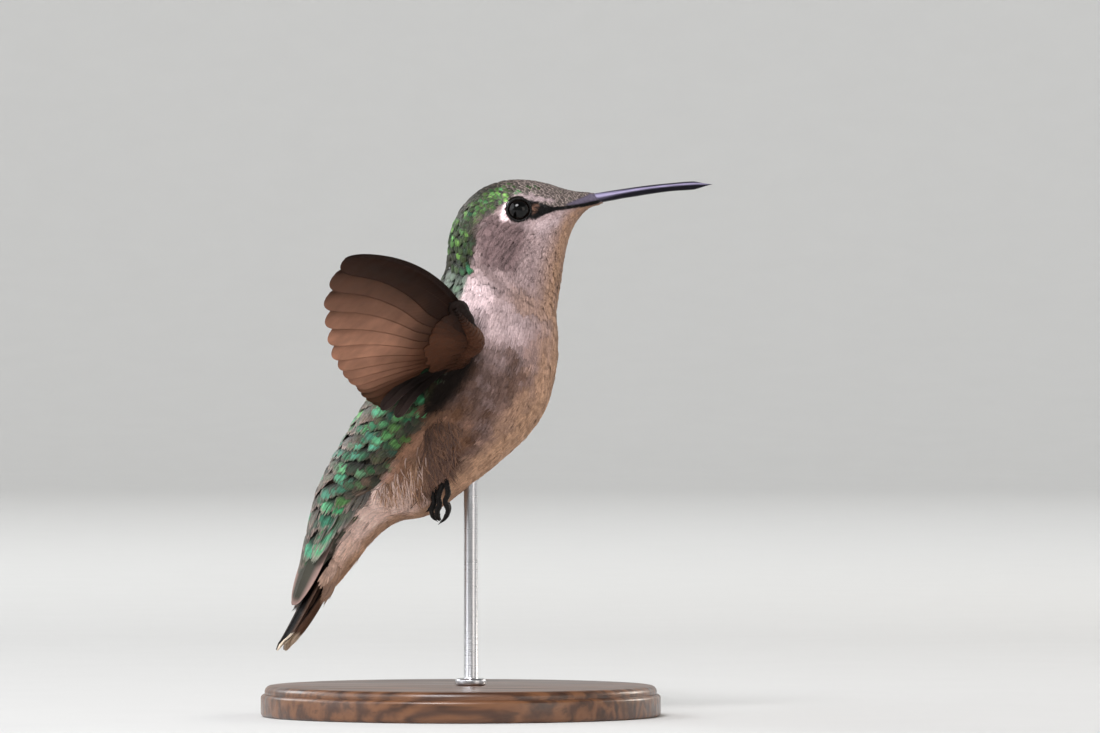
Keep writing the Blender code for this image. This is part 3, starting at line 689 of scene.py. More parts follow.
def steel_material():
    """A brushed steel rod: fine rings from the lathe."""
    nodes = Nodes("brushed_steel", Metallic=1.0)
    rings = nodes.object_noise(260, 4.0, (0.4, 0.4, 30))
    nodes.base(nodes.mix_colour(nodes.range(rings, 0.0, 1.0), (0.50, 0.50, 0.52), (0.60, 0.60, 0.62)))
    nodes.link(nodes.range(rings, 0.26, 0.34), nodes.shader.inputs["Roughness"])
    nodes.bump(rings, 0.003)
    return nodes.material


def floor_material():
    """Plain pale paper, scarcely mottled."""
    nodes = Nodes("studio_paper", Roughness=0.9, Specular_IOR_Level=0.1)
    grain = nodes.range(nodes.object_noise(60), 0.0, 1.0)
    nodes.base(nodes.mix_colour(grain, (0.66, 0.66, 0.65), (0.67, 0.67, 0.66)))
    return nodes.material


# --- Skin ---


def arm_rings(side):
    """The flesh of one wing: upper arm, forearm and hand, tapering along the leading edge."""
    hand = [tuple(wing_place(0.5, reach)) for reach in (6.0, 12.0)]
    line = on_side([SHOULDER, FOREARM, WRIST, *hand], side)
    return sweep(line, [2.2, 1.8, 1.15, 0.42, 0.12], 60, 20)[None]


def make_skin():
    """One skin for the whole body and both arms, inside the coat by its depth."""
    sections, angles = 200, 96
    section = np.linspace(0.0, COVERT_END, sections)[:, None] + np.zeros((1, angles))
    angle = np.zeros((sections, 1)) + np.arange(angles)[None] * 2 * math.pi / angles
    trunk = body(section, angle, -coat_depth(section))[None]
    arms = [arm_rings(side) for side in (-1, 1)]
    points, faces = join([trunk, *arms])
    colours = [plumage(section, angle).reshape(-1, 3)]
    places = [unwrap(section, angle).reshape(-1, 2)]
    for arm in arms:
        count = arm.shape[1] * arm.shape[2]
        colours.append(np.tile(DUSKY_AND_SHADOW * 0.7, (count, 1)))
        strip = np.stack(np.meshgrid(np.linspace(0, 0.02, 20), np.linspace(0.1, 0.9, 60)), -1)
        places.append(strip.reshape(-1, 2))
    skin = make_piece("skin", points, faces, skin_material(), np.vstack(colours),
        {"OFBake": np.vstack(places)})
    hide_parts("head", "neck", "trunk", "uppertail_coverts", "undertail_coverts")
    return finish_piece(skin)


def finish_piece(piece):
    """Hang a piece on the root; nothing moves, so all of them ride on it."""
    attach(piece, "root")
    return piece


# --- Body feathers ---


def feather_size(section, angle):
    """How far apart feathers stand here, and how long they are."""
    at = [0, 2, 5, 9, 11, 13, 16, 18, 20, 23]
    apart = np.interp(section, at, [0.24, 0.31, 0.42, 0.56, 0.64, 0.72, 0.76, 0.76, 0.80, 0.82])
    long = np.interp(section, at, [0.55, 0.9, 1.3, 1.9, 2.3, 2.8, 3.2, 3.5, 4.0, 4.8])
    scaly = green_share(section, angle) > 0.5
    apart = apart * np.where(scaly, np.interp(section, [0, 8, 12, 18, 20], [1.05, 1.2, 1.35, 1.5, 1.8]), 1.0)
    long = long * np.where(scaly, np.interp(section, [0, 8, 12, 18, 20], [1.0, 0.95, 0.9, 0.85, 1.05]), 1.0)
    return apart, long


def near_eye(points):
    """Distance from the middle of the eye on its own side, as the side view has it."""
    away = (points - EYE_CENTRE) * np.array([1.0, 0.0, 1.0])
    return np.linalg.norm(away, axis=-1)


def scatter_roots(tries=90000):
    """Places for feathers, evenly strewn and as far apart as their size there asks."""
    section = RANDOM.uniform(0.15, COVERT_END - 0.1, tries)
    angle = RANDOM.uniform(0, 2 * math.pi, tries)
    along, around = body_slopes(section, angle)
    area = np.linalg.norm(np.cross(along, around), axis=-1)
    apart, _ = feather_size(section, angle)
    chance = area / apart**2
    kept = RANDOM.uniform(0, 1, tries) < chance / np.quantile(chance, 0.995)
    kept &= near_eye(body(section, angle)) > EYE_OPENING + 0.12
    section, angle, apart = section[kept], angle[kept], apart[kept]
    points = body(section, angle)
    cells, chosen = {}, []
    size = 0.9
    for i, (point, gap) in enumerate(zip(points.tolist(), apart.tolist())):
        cell = tuple(int(value // size) for value in point)
        reach = int(math.ceil(gap / size))
        clear = True
        for dx in range(-reach, reach + 1):
            for dy in range(-reach, reach + 1):
                for dz in range(-reach, reach + 1):
                    for other in cells.get((cell[0] + dx, cell[1] + dy, cell[2] + dz), ()):
                        if math.dist(point, other) < gap:
                            clear = False
        if clear:
            cells.setdefault(cell, []).append(point)
            chosen.append(i)
    return section[chosen], angle[chosen]


def lay(section, angle, heading, forward, sideways, raised):
    """Points on the body's outline, at millimetres forward of and beside each feather's root.

    The first four are one value a feather; heading is radians off the lie of the coat. The last
    three are shaped (feathers, rings, points), and raised is height above the outline.
    """
    along, around = body_slopes(section, angle)
    along = np.linalg.norm(along, axis=-1)[:, None, None]
    around = np.maximum(np.linalg.norm(around, axis=-1), 0.6)[:, None, None]
    cos, sin = np.cos(heading)[:, None, None], np.sin(heading)[:, None, None]
    sections = section[:, None, None] + (cos * forward - sin * sideways) / along
    angles = angle[:, None, None] + (sin * forward + cos * sideways) / around
    return body(sections, angles, raised)


def rise(t):
    """How a feather climbs from the skin (0) to the outline (1) over its length."""
    return np.clip(1.25 * np.sin(np.clip(t, 0, 1) * math.pi / 2) ** 0.8 - 0.1, 0, 1)


def headings(section, angle):
    """The lie of the coat: down the body, but round the eye and with a little disorder."""
    points = body(section, angle)
    heading = RANDOM.normal(0, 0.10, len(section))
    away = near_eye(points)
    above = np.sign(points[:, 2] - EYE_CENTRE[2])
    side = np.where(np.mod(angle, 2 * math.pi) < math.pi, 1.0, -1.0)
    ahead = step(EYE_CENTRE[0] - 1.0, EYE_CENTRE[0] + 2.5, points[:, 0])
    return heading - above * side * ahead * 0.9 * (1 - step(1.7, 3.6, away))


def clear_of_eye(section, angle, heading, length):
    """Lengths cut short where a feather would cross the open eye."""
    for _ in range(7):
        tips = lay(section, angle, heading, length[:, None, None], 0 * length[:, None, None], 0.0)[:, 0, 0]
        crossing = (near_eye(tips) < EYE_OPENING + 0.06) & (section < 8)
        length = np.where(crossing, length * 0.72, length)
    return length


def coat_map(section, angle, across, along):
    """Each feather's patch on the shared unwrap: small, at its root's place."""
    root = unwrap(section, angle)[:, None, None]
    return root + np.stack(np.broadcast_arrays(along - 0.5, across - 0.5), -1) * BAKE_PATCH


def barb_places(feathers, barbs, half):
    """The section and angle that each barb of each feather ends over."""
    section, angle, heading, length = (column[:, None] for column in feathers.T[:4])
    fan = np.linspace(-1, 1, barbs)
    forward = 0.75 * length * (1 - 0.26 * np.abs(fan) ** 1.8)
    sideways = 0.85 * half[:, None] * fan
    along, around = (np.linalg.norm(slope, axis=-1) for slope in body_slopes(section, angle))
    sections = section + (np.cos(heading) * forward - np.sin(heading) * sideways) / along
    turned = (np.sin(heading) * forward + np.cos(heading) * sideways) / np.maximum(around, 0.6)
    return sections, angle + turned


def paint_face(points, colours, seen):
    """The face's sharp marks, point by point, over feathers on the head."""
    count = len(seen)
    places = points.reshape(count, -1, 3)
    flat = colours.reshape(count, -1, colours.shape[-1])
    face = seen < FACE_END
    if face.any():
        flat[face, :, :3] = face_marks(places[face], flat[face, :, :3])
        dark = flat[..., :3].max(-1) < 0.02
        flat[..., 3:] = np.where((dark & face[:, None])[..., None], 0.0, flat[..., 3:])
    return flat.reshape(colours.shape)


def scale_colours(own, section, angle):
    """Colour and metallic share over scaly feathers, shaped (feathers, barbs, rings, 3 points, 4)."""
    count, barbs = own.shape[:2]
    t = SCALE_STYLE[0]
    own = own * RANDOM.uniform(0.75, 1.2, count)[:, None, None]
    low = from_back(angle)
    share = glint(section, angle)
    lit = step(-0.12, 0.12, share - RANDOM.uniform(0, 1, count))
    hue = mix(GREEN, EMERALD, np.clip(step(10, 16, section) * 0.5 + RANDOM.normal(0.1, 0.3, count), 0, 1))
    blue = step(15.0, 18.0, section) * (1 - step(50, 78, low)) * 0.75 + RANDOM.normal(0, 0.28, count)
    hue = mix(hue, TURQUOISE, np.clip(blue, 0, 1) * step(14, 17, section))
    power = np.interp(section, [7, 16, 18.5, 20], [1.5, 1.1, 1.0, 0.4])
    hue = hue * (0.2 + RANDOM.uniform(0, 1, count) ** power)[:, None]
    # Darker low on the sides of the back: painted shade.
    hue = hue * (1 - 0.45 * step(60, 85, low) * step(14.5, 16, section))[:, None]
    green = step(0.05, 0.3, share)
    bright = mix(mix(own, hue[:, None] * 0.35, 0.5 * green[:, None]), hue[:, None], 0.92 * lit[:, None])
    crown = (1 - step(6.0, 8.5, section))[:, None]
    bright = mix(bright, own * 0.34, crown * (1 - lit[:, None]))
    # Pinkish-grey fringes along the middle of the back: partly their own colour, partly painted light, the
    # grey the green shows where light meets it at a slant.
    greyed = step(14.5, 16.5, section) * (1 - step(18, 44, low))
    greyed = np.maximum(greyed, step(18.4, 19.6, section) * 0.7)
    fringe = mix(paint(62, 52, 42), paint(164, 142, 134), greyed)
    fringe = mix(fringe[:, None], own * 1.35, 0.2 + 0.75 * crown)
    dark = mix(own * 0.3, paint(14, 12, 6), 0.6 * green[:, None])
    each = RANDOM.normal(1.0, 0.18, (count, barbs))
    fan = np.abs(np.linspace(-1, 1, barbs))
    middle = step(0.30, 0.62, t)[None, None] * (1 - 0.7 * step(0.5, 1.0, fan))[None, :, None]
    middle = middle * np.ones((count, 1, 1))
    edge_share = np.interp(section, [0, 7, 9, 12, 15, 20], [0.9, 0.8, 0.25, 0.25, 0.6, 0.8])
    sides = 0.8 * step(0.7, 1.0, fan)[None, :, None] * step(0.5, 0.8, t)[None, None]
    edge = np.maximum(step(0.76, 0.92, t)[None, None], sides) * edge_share[:, None, None]
    colour = mix(dark[:, :, None], bright[:, :, None], middle)
    colour = mix(colour, fringe[:, :, None], edge) * each[:, :, None, None]
    metal = middle * (1 - edge) * (0.05 + 0.4 * lit)[:, None, None]
    value = np.concatenate([np.clip(colour, 0, 1), metal[..., None]], -1)
    return np.repeat(value[:, :, :, None], 3, axis=3)


def strew():
    """Every body feather's root, heading and length, and the place its showing part covers."""
    section, angle = scatter_roots()
    heading = headings(section, angle)
    _, long = feather_size(section, angle)
    length = clear_of_eye(section, angle, heading, long * RANDOM.uniform(0.87, 1.13, len(section)))
    along, around = (np.linalg.norm(slope, axis=-1) for slope in body_slopes(section, angle))
    seen = section + 0.72 * length * np.cos(heading) / along
    seen_angle = angle + 0.72 * length * np.sin(heading) / np.maximum(around, 0.6)
    return np.stack([section, angle, heading, length, seen, seen_angle], -1)


# How feathers are made: places of the rings, their thickness, how far the fan has opened at four places
# along them, and (disorder, roundness).
SCALE_STYLE = (
    np.array([0.0, 0.36, 0.62, 0.78, 0.90, 1.0]),
    np.array([0.9, 1.1, 1.1, 1.0, 0.8, 0.25]),
    (0.3, 0.72, 1.0, 0.92),
    (0.25, 0.26),
)
SOFT_STYLE = (
    np.array([0.0, 0.34, 0.7, 1.0]),
    np.array([1.0, 1.2, 1.0, 0.25]),
    (0.25, 0.55, 0.85, 1.0),
    (0.35, 0.18),
)


def handedness(place, count):
    """Which way round each feather's own axes turn: 1 if ahead, aside and above are right-handed, else -1."""
    still = np.zeros((count, 1, 1))
    start = place(still, still, still)
    ahead, aside, above = (place(still + a, still + b, still + c) - start for a, b, c in 0.2 * np.eye(3))
    return np.sign(np.sum(np.cross(ahead, aside) * above, -1))[..., None]


def barbed_feathers(length, half, barbs, style, place, depth):
    """Feathers as fans of flattened barbs, shaped (feathers, barbs, rings, 3 points).

    Their normals lean only a little from the coat's own surface, so that it shades as one.
    """
    t, thick, fan_out, (disorder, roundness) = style
    count, rings = len(length), len(t)
    hand = handedness(place, count)
    fan = np.linspace(-1, 1, barbs)
    end = 1.0 - 0.26 * np.abs(fan)[None] ** 1.8 + RANDOM.normal(0, 0.035 + 0.05 * disorder, (count, barbs))
    sway = RANDOM.normal(0, 0.10 * disorder + 0.02, (count, barbs))
    tips = RANDOM.normal(-0.04, 0.015 + 0.03 * disorder, (count, barbs))
    overlap = RANDOM.normal(0, 0.035, count)
    ring = np.array([(-1.0, 0.0), (0.0, roundness), (1.0, 0.0)])
    turned = -hand * ring[None, None, None, :, 0]
    width = np.clip(half / barbs * 2.1, 0.03, 0.15)
    size = np.minimum(length, 2.0)[:, None, None, None] / 2.0
    forward = length[:, None, None, None] * end[:, :, None, None] * t[None, None, :, None]
    forward = np.broadcast_to(forward, (count, barbs, rings, 3))
    spread = np.interp(t, [0, 0.3, 0.65, 1.0], fan_out)[None, None, :, None]
    centre = half[:, None, None, None] * (fan[None, :, None, None] + sway[:, :, None, None]) * spread
    across = width[:, None, None, None] * thick[None, None, :, None]
    sideways = centre + across * turned
    deep = np.asarray(depth)[:, None, None, None]
    climb = rise(t)[None, None, :, None]
    up = -deep + (deep + (tips[:, :, None, None] + overlap[:, None, None, None]) * size) * climb
    up = up - 0.06 * np.abs(fan)[None, :, None, None] ** 2 * size + across * ring[None, None, None, :, 1]
    shape = (count, barbs * rings, 3)
    forward, sideways, up = (values.reshape(shape) for values in (forward, sideways, up))
    laid = place(forward, sideways, up)
    ahead = unit(place(forward + 0.2, sideways, up) - laid)
    aside = unit(place(forward, sideways + 0.2, up) - laid)
    lean = RANDOM.normal(0, 0.10, (count, barbs, 1, 1)) + 0.38 * turned
    lean = np.broadcast_to(lean, (count, barbs, rings, 3)).reshape(shape)
    bow = np.broadcast_to(0.30 * (t - 0.6)[None, None, :, None], (count, barbs, rings, 3)).reshape(shape)
    normals = unit(np.cross(ahead, aside) * hand + aside * lean[..., None] + ahead * bow[..., None])
    beside = np.broadcast_to((0.5 + 0.45 * fan)[None, :, None, None], (count, barbs, rings, 3))
    along = np.broadcast_to(t[None, None, :, None], (count, barbs, rings, 3))
    return laid.reshape(count * barbs, rings, 3, 3), normals, beside.reshape(shape), along.reshape(shape)


def coat_feathers(feathers, barbs, glossy):
    """Overlapping scales, or loose tufts of barbs that fan out from a hidden shaft."""
    section, angle, heading, length, seen, seen_angle = feathers.T
    narrow, broad = (0.30, 0.37) if glossy else (0.27, 0.35)
    half = length * RANDOM.uniform(narrow, broad, len(length))
    style, barb_colours = (SCALE_STYLE, scale_colours) if glossy else (SOFT_STYLE, soft_colours)
    place = partial(lay, section, angle, heading)
    points, normals, beside, along = barbed_feathers(length, half, barbs, style, place, coat_depth(section))
    own = plumage(*barb_places(feathers, barbs, half))
    colours = paint_face(points, barb_colours(own, seen, seen_angle), seen)
    return points, colours, {"OFBake": coat_map(section, angle, beside, along)}, normals

def soft_colours(own, *_):
    """Colours over the barbs of soft feathers: paler to the tips, each feather its own shade."""
    count, barbs = own.shape[:2]
    shade = RANDOM.normal(1.0, 0.08, count)
    each = RANDOM.normal(1.0, 0.09, (count, barbs)) * shade[:, None]
    fade = 0.80 + 0.22 * step(0.1, 0.8, SOFT_STYLE[0])
    colour = own[:, :, None, None] * each[:, :, None, None, None] * fade[None, None, :, None, None]
    return np.clip(colour * np.ones((1, 1, 1, 3, 1)), 0, 1)


def flank_width(points):
    """How far out the body's outline is at the x and z of points low on its side."""
    section, angle = np.meshgrid(np.linspace(14.5, 19.5, 46), np.radians(np.linspace(66, 150, 43)))
    surface = body(section, angle).reshape(-1, 3)
    away = np.hypot(points[:, None, 0] - surface[None, :, 0], points[:, None, 2] - surface[None, :, 2])
    return np.abs(surface[away.argmin(1), 1])


def flank_wisps(side, which, material):
    """Long loose barbs that hang from the flank over the thigh and the vent."""
    count, rings = 900, 8
    section = RANDOM.uniform(15.3, 17.9, count)
    degrees = RANDOM.uniform(84, 114, count)
    degrees = degrees + RANDOM.uniform(0, 20, count) * step(15.8, 16.4, section) * (section < 17.4)
    angle = np.radians(degrees) * -side
    root = body(section, angle)
    t = np.linspace(0, 1, rings)
    length = RANDOM.uniform(1.6, 4.8, count) * (1 - 0.5 * step(-5.0, -2.5, root[:, 0]))
    fall = np.stack([RANDOM.normal(-0.05, 0.24, count), np.zeros(count), -np.ones(count)], -1)
    line = root[:, None] + unit(fall)[:, None] * (length[:, None] * t)[..., None]
    line[..., 0] += RANDOM.normal(0.4, 0.45, count)[:, None] * t**2
    lift = -0.35 + 0.5 * step(0.0, 0.35, t)[None] + RANDOM.uniform(-0.1, 0.3, count)[:, None] * t
    line[..., 1] = side * (flank_width(line.reshape(-1, 3)).reshape(count, rings) + lift)
    line[:, 1:-1, 1] = (line[:, :-2, 1] + line[:, 1:-1, 1] + line[:, 2:, 1]) / 3
    kept = line[:, -1, 2] > np.interp(line[:, -1, 0], [-9, -4, 0, 0.5, 0.6], [26.2, 26.8, 30.0, 31.0, 99.0])
    line, root, section, angle, degrees = line[kept], root[kept], section[kept], angle[kept], degrees[kept]
    count = len(line)
    along = unit(np.gradient(line, axis=1))
    beside = unit(np.cross(along, np.array([0.0, side, 0.0])))
    narrowing = np.interp(t, [0, 0.5, 1], [1.0, 0.9, 0.15])[None, :, None]
    wide = RANDOM.uniform(0.04, 0.10, count)[:, None, None] * narrowing
    edge = np.array([-1.0, 0.0, 1.0])
    points = line[:, :, None] + beside[:, :, None] * (wide * edge)[..., None]
    points[..., 1] += side * (wide * (1 - np.abs(edge))) * 0.4
    outward = unit(body(section, angle, 0.5) - root)
    normals = outward[:, None, None] + beside[:, :, None] * (0.4 * edge)[:, None]
    normals = unit(normals + np.zeros_like(points))
    leg = step(-6.0, -4.2, root[:, 0])
    warm = mix(BUFF, TAN, RANDOM.uniform(0, 1, count))
    own = mix(warm, mix(GREY_BROWN, BUFF, RANDOM.uniform(0, 0.8, count)), leg)
    own = mix(own, VENT, (RANDOM.uniform(0, 1, count) < 0.45 * (1 - leg)) * 0.8)
    own = mix(own, own * 0.4, step(94, 84, degrees) * 0.8)
    colours = own[:, None, None] * (0.75 + 0.3 * t)[None, :, None, None] * np.ones((1, 1, 3, 1))
    beside_map = np.broadcast_to(0.5 + 0.5 * edge, (count, rings, 3))
    along_map = np.broadcast_to(t[None, :, None], (count, rings, 3))
    maps = {"OFBake": coat_map(section, angle, beside_map, along_map)}
    piece = make_piece(f"wisps_{which}_flank", points, ring_faces(count, rings, 3), material, colours, maps,
        normals)
    finish_piece(piece)


def tail_coverts(material):
    """Long green coverts over the root of the tail, laid on the tail's own upper surface."""
    rows = ((-0.04, 5), (0.03, 6), (0.10, 7), (0.17, 6), (0.23, 4))
    across = np.concatenate([np.linspace(-3.9, 3.9, count) * (1 - at) for at, count in rows])
    start = np.concatenate([np.full(count, at) for at, count in rows])
    across = across + RANDOM.normal(0, 0.12, len(across))
    start = start + RANDOM.normal(0, 0.012, len(start)) - 0.022 * np.abs(across)
    length = RANDOM.uniform(4.4, 5.2, len(start))
    half = length * 0.36

    def place(forward, sideways, up):
        a, t = across[:, None, None] + 0 * forward, start[:, None, None] + forward / 19.0
        line = tail_place(a, t)
        beside = unit(tail_place(a + 0.2, t) - tail_place(a - 0.2, t))
        along = unit(tail_place(a, t + 0.05) - tail_place(a, t - 0.05))
        out = np.cross(along, beside)
        out = unit(out * np.sign(out @ np.array([TAIL_NORMAL[0], 0.0, TAIL_NORMAL[1]]))[..., None])
        return line + beside * sideways[..., None] + out * (up + 0.72)[..., None]

    points, normals, beside, along = barbed_feathers(length, half, 17, SCALE_STYLE, place,
        np.full(len(start), 0.45))
    section = TAIL_ROOT + 0.6 + 9.0 * (start + 0.04)
    angle = np.radians(across / RECTRIX_PAIRS * 100)
    own = np.repeat(plumage(section + 0.8, angle)[:, None], 17, axis=1)
    maps = {"OFBake": coat_map(section, angle, beside, along)}
    colours = scale_colours(own, section + 0.8, angle)
    piece = make_piece("scales_tail_coverts", points, ring_faces(*points.shape[:3]), material, colours,
        maps, normals)
    finish_piece(piece)


def tail_underside(material):
    """Long pale coverts that sheathe the underside of the tail's root."""
    rows = ((0.0, 13), (0.9, 11), (1.7, 9))
    round_to = np.concatenate([np.linspace(-64, 64, count) for start, count in rows])
    start = np.concatenate([np.full(count, start) for start, count in rows])
    round_to = np.radians(round_to + RANDOM.normal(0, 3.0, len(round_to)))
    start = start + RANDOM.uniform(-0.3, 0.3, len(start))
    length = RANDOM.uniform(2.2, 2.8, len(start)) + 2.4 * np.cos(round_to) ** 2
    down, fore, left = np.array([-0.47, 0, -0.883]), np.array([0.883, 0, -0.47]), np.array([0, 1.0, 0])
    deep = 2.2

    def place(forward, sideways, up):
        at = start[:, None, None] + forward
        turn = round_to[:, None, None, None] + np.zeros(at.shape + (1,))
        wide = np.interp(at, [0, 1.8, 4.5, 6.0], [2.5, 4.15, 4.15, 3.7])[..., None]
        axis = np.array([-14.75, 0, 20.3]) - deep * fore + down * at[..., None]
        out = unit(fore * np.cos(turn) / deep - left * np.sin(turn) / wide)
        aside = -fore * np.sin(turn) - left * np.cos(turn)
        line = axis + fore * deep * np.cos(turn) - left * wide * np.sin(turn)
        return line + aside * sideways[..., None] + out * (up + 0.15)[..., None]

    half = length * 0.24
    points, normals, beside, along = barbed_feathers(length, half, 11, SOFT_STYLE, place,
        np.full(len(start), 0.45))
    section = 20.0 + 0.4 * start
    angle = np.sign(round_to) * (math.pi - np.abs(round_to))
    own = mix(TAN * 0.66, VENT * 0.66, 0.6 * RANDOM.uniform(0, 1, len(start)) * np.abs(np.sin(round_to)))
    own = np.repeat(own[:, None], 11, axis=1)
    maps = {"OFBake": coat_map(section, angle, beside, along)}
    colours = soft_colours(own, section, angle)
    piece = make_piece("tufts_undertail", points, ring_faces(*points.shape[:3]), material, colours, maps,
        normals)
    finish_piece(piece)


def make_coat():
    """The whole coat, in pieces small enough to carry."""
    feathers = strew()
    seen, seen_angle = feathers[:, 4], feathers[:, 5]
    scaly = green_share(seen, seen_angle, 3.5) > RANDOM.uniform(0.25, 0.75, len(seen))
    scales, soft = scale_material(), soft_material()
    kinds = (
        ("scales_crown", True, 0, 6.5, 7, "head_feathers"),
        ("scales_nape", True, 6.5, 12.5, 9, "neck_feathers"),
        ("scales_back", True, 12.5, 16, 11, "body_feathers"),
        ("scales_rump", True, 16, 30, 13, "rump_feathers"),
        ("tufts_face", False, 0, 4.5, 7, "head_feathers"),
        ("tufts_cheeks", False, 4.5, 7.5, 9, "head_feathers"),
        ("tufts_throat", False, 7.5, 10, 11, "head_feathers"),
        ("tufts_neck", False, 10, 12.2, 11, "neck_feathers"),
        ("tufts_breast", False, 12.2, 14.3, 11, "body_feathers"),
        ("tufts_belly", False, 14.3, 17.2, 11, "body_feathers"),
        ("tufts_vent", False, 17.2, 30, 11, "undertail_feathers"),
    )
    for name, glossy, first, last, barbs, slot in kinds:
        here = feathers[(scaly == glossy) & (seen >= first) & (seen < last)]
        points, colours, maps, normals = coat_feathers(here, barbs, glossy)
        faces = ring_faces(*points.shape[:3])
        piece = make_piece(name, points, faces, scales if glossy else soft, colours, maps, normals)
        finish_piece(piece)
    tail_coverts(scales)
    for side, which in ((-1, "right"), (1, "left")):
        flank_wisps(side, which, soft)
    tail_underside(soft)


# --- Wings ---


def wing_axes():
    """The right wing's directions: out along it, back across it, and out of its upper side."""
    sweep_angle, raised, pitch = (math.radians(a) for a in (WING_SWEEP, WING_RAISE, WING_PITCH))
    level, up = math.cos(raised), math.sin(raised)
    along = np.array([-math.sin(sweep_angle) * level, -math.cos(sweep_angle) * level, up])
    back = np.array([-math.cos(sweep_angle), math.sin(sweep_angle), 0.0])
    up = np.cross(back, along)
    up *= math.copysign(1.0, up[2])
    across = math.cos(pitch) * back - math.sin(pitch) * up
    return along, across, math.cos(pitch) * up + math.sin(pitch) * back


ALONG, ACROSS, WING_UP = wing_axes()


def wing_feather(number):
    """Start, length and tip's angle (radians) of flight feathers, 0 the outermost primary."""
    number = np.asarray(number, float)
    last = PRIMARIES - 1
    primary = np.clip(number, 0, last)
    length = smooth(np.array(PRIMARY_LENGTHS)[:, None], primary)[..., 0]
    angle = smooth(np.array(PRIMARY_ANGLES)[:, None], primary)[..., 0] + 3 * np.minimum(number, 0)
    share = np.clip((number - last) / SECONDARIES, 0, None)
    length = np.where(share > 0, PRIMARY_LENGTHS[-1] * (1 - share) + LAST_SECONDARY * share, length)
    angle = np.where(share > 0, PRIMARY_ANGLES[-1] * (1 - share) + LAST_SECONDARY_ANGLE * share, angle)
    start = np.array(WRIST) + (np.array(ELBOW) - np.array(WRIST)) * share[..., None]
    return start, length, np.radians(angle)


def wing_place(number, reach):
    """Points of the right wing's own surface, at millimetres from where each feather starts."""
    start, length, angle = wing_feather(number)
    reach = np.asarray(reach, float)
    bend = angle + math.radians(FEATHER_BEND) * (reach - length) / PRIMARY_LENGTHS[0]
    camber = 4 * WING_CAMBER * reach / PRIMARY_LENGTHS[0] * (1 - reach / PRIMARY_LENGTHS[0])
    flat = np.cos(bend)[..., None] * ALONG + np.sin(bend)[..., None] * ACROSS
    return start + reach[..., None] * flat + camber[..., None] * WING_UP


ACROSS_VANE = np.array(
    [-1.0, -0.94, -0.5, -0.045, 0.0, 0.045, 0.5, 0.94, 1.0, 0.94, 0.5, 0.045, 0.0, -0.045, -0.5, -0.94]
)
OVER_VANE = np.array([0, 1, 1, 1, 1, 1, 1, 1, 0, -1, -1, -1, -1, -1, -1, -1])


def vane_rings(shaft, side_way, up_way, front, rear, thick, ridge, droop):
    """Rings of a long feather about its shaft, front and rear of it wide, both along its length.

    Each ring goes over the top and back underneath, with points close to its edges and its shaft.
    The droop is the slope of the front and of the rear vane.
    """
    across = ACROSS_VANE
    wide = np.where(across[None] < 0, front[:, None], rear[:, None]) * across[None]
    narrow = np.abs(across[None]) < 0.1
    wide = np.where(narrow, np.sign(across[None]) * ridge[:, None] * 0.9, wide)
    height = OVER_VANE[None] * 0.5 * thick
    height = height + np.where(across[None] == 0, np.sign(OVER_VANE)[None] * ridge[:, None] * 0.8, 0)
    height = height - np.where(across[None] < 0, droop[0], droop[1]) * wide
    return shaft[:, None] + side_way[:, None] * wide[..., None] + up_way[:, None] * height[..., None]


def tip_shape(t, start, power=2.0):
    """1 along a vane and rounding off to 0 at the tip."""
    part = np.clip((t - start) / (1 - start), 0, 1)
    return np.sqrt(np.clip(1 - part**power, 0, 1))


def flight_steps(rings):
    """Places along a flight feather, closer together towards its tip."""
    return 1 - (1 - np.linspace(0, 1, rings)) ** 1.5


def flight_feather(number, side):
    """Rings of one flight feather of the wing, lying over the next one out."""
    rings = FLIGHT_RINGS
    t = flight_steps(rings)
    _, length, _ = wing_feather(number)
    reach = FEATHER_ROOT + (length - FEATHER_ROOT) * t
    shaft = wing_place(np.full(rings, float(number)), reach)
    along = unit(np.gradient(shaft, axis=0))
    side_way = unit(np.cross(along, WING_UP) * -1.0)
    if np.dot(side_way[rings // 2], ACROSS) < 0:
        side_way = -side_way
    primary = number < PRIMARIES
    grow_in = step(0.02, 0.30, t)
    rear = (4.2 if primary else 3.1) * (0.35 + 0.65 * grow_in) * tip_shape(t, 0.80, 2.4)
    front = 1.5 * (0.35 + 0.65 * grow_in) * tip_shape(t, 0.90, 2.4)
    if number == 0:
        front, rear = front * 0.5, rear * 0.85
    if number >= PRIMARIES + SECONDARIES - 2:
        front, rear = front * 1.15, rear * 0.75
    ridge = np.interp(t, [0, 0.5, 1], [0.16, 0.09, 0.03])
    shaft = shaft + WING_UP * 0.022 * number
    ups = np.tile(WING_UP, (rings, 1))
    slope = (0.025, 0.025)
    ring = vane_rings(shaft, side_way, ups, np.maximum(front, LEAST_WIDTH), np.maximum(rear, LEAST_WIDTH),
        0.05, ridge, slope)
    return on_side(ring, side)


def tertial(number, side):
    """Rings of one of the short inner feathers that lie against the back where the wing meets it."""
    rings = FLIGHT_RINGS
    t = flight_steps(rings)
    start = np.array([-1.2, -8.3, 45.6 + 0.5 * number])
    end = np.array([-8.3 - 1.9 * number, -9.0 - 0.3 * number, 38.9 + 1.0 * number])
    sag = np.array([-0.5, -0.5, 0.6]) * np.sin(t * math.pi)[:, None]
    shaft = start + (end - start) * t[:, None] + sag
    along = unit(np.gradient(shaft, axis=0))
    up = np.array([-0.25, -0.95, 0.15])
    side_way = unit(np.cross(along, up))
    wide = np.maximum(0.85 * (0.4 + 0.6 * step(0.0, 0.4, t)) * tip_shape(t, 0.84, 2.0), 0.03)
    ridge = np.interp(t, [0, 1], [0.12, 0.04])
    ring = vane_rings(shaft, side_way, np.tile(up, (rings, 1)), wide, wide, 0.06, ridge, (0.05, 0.05))
    return on_side(ring, side)


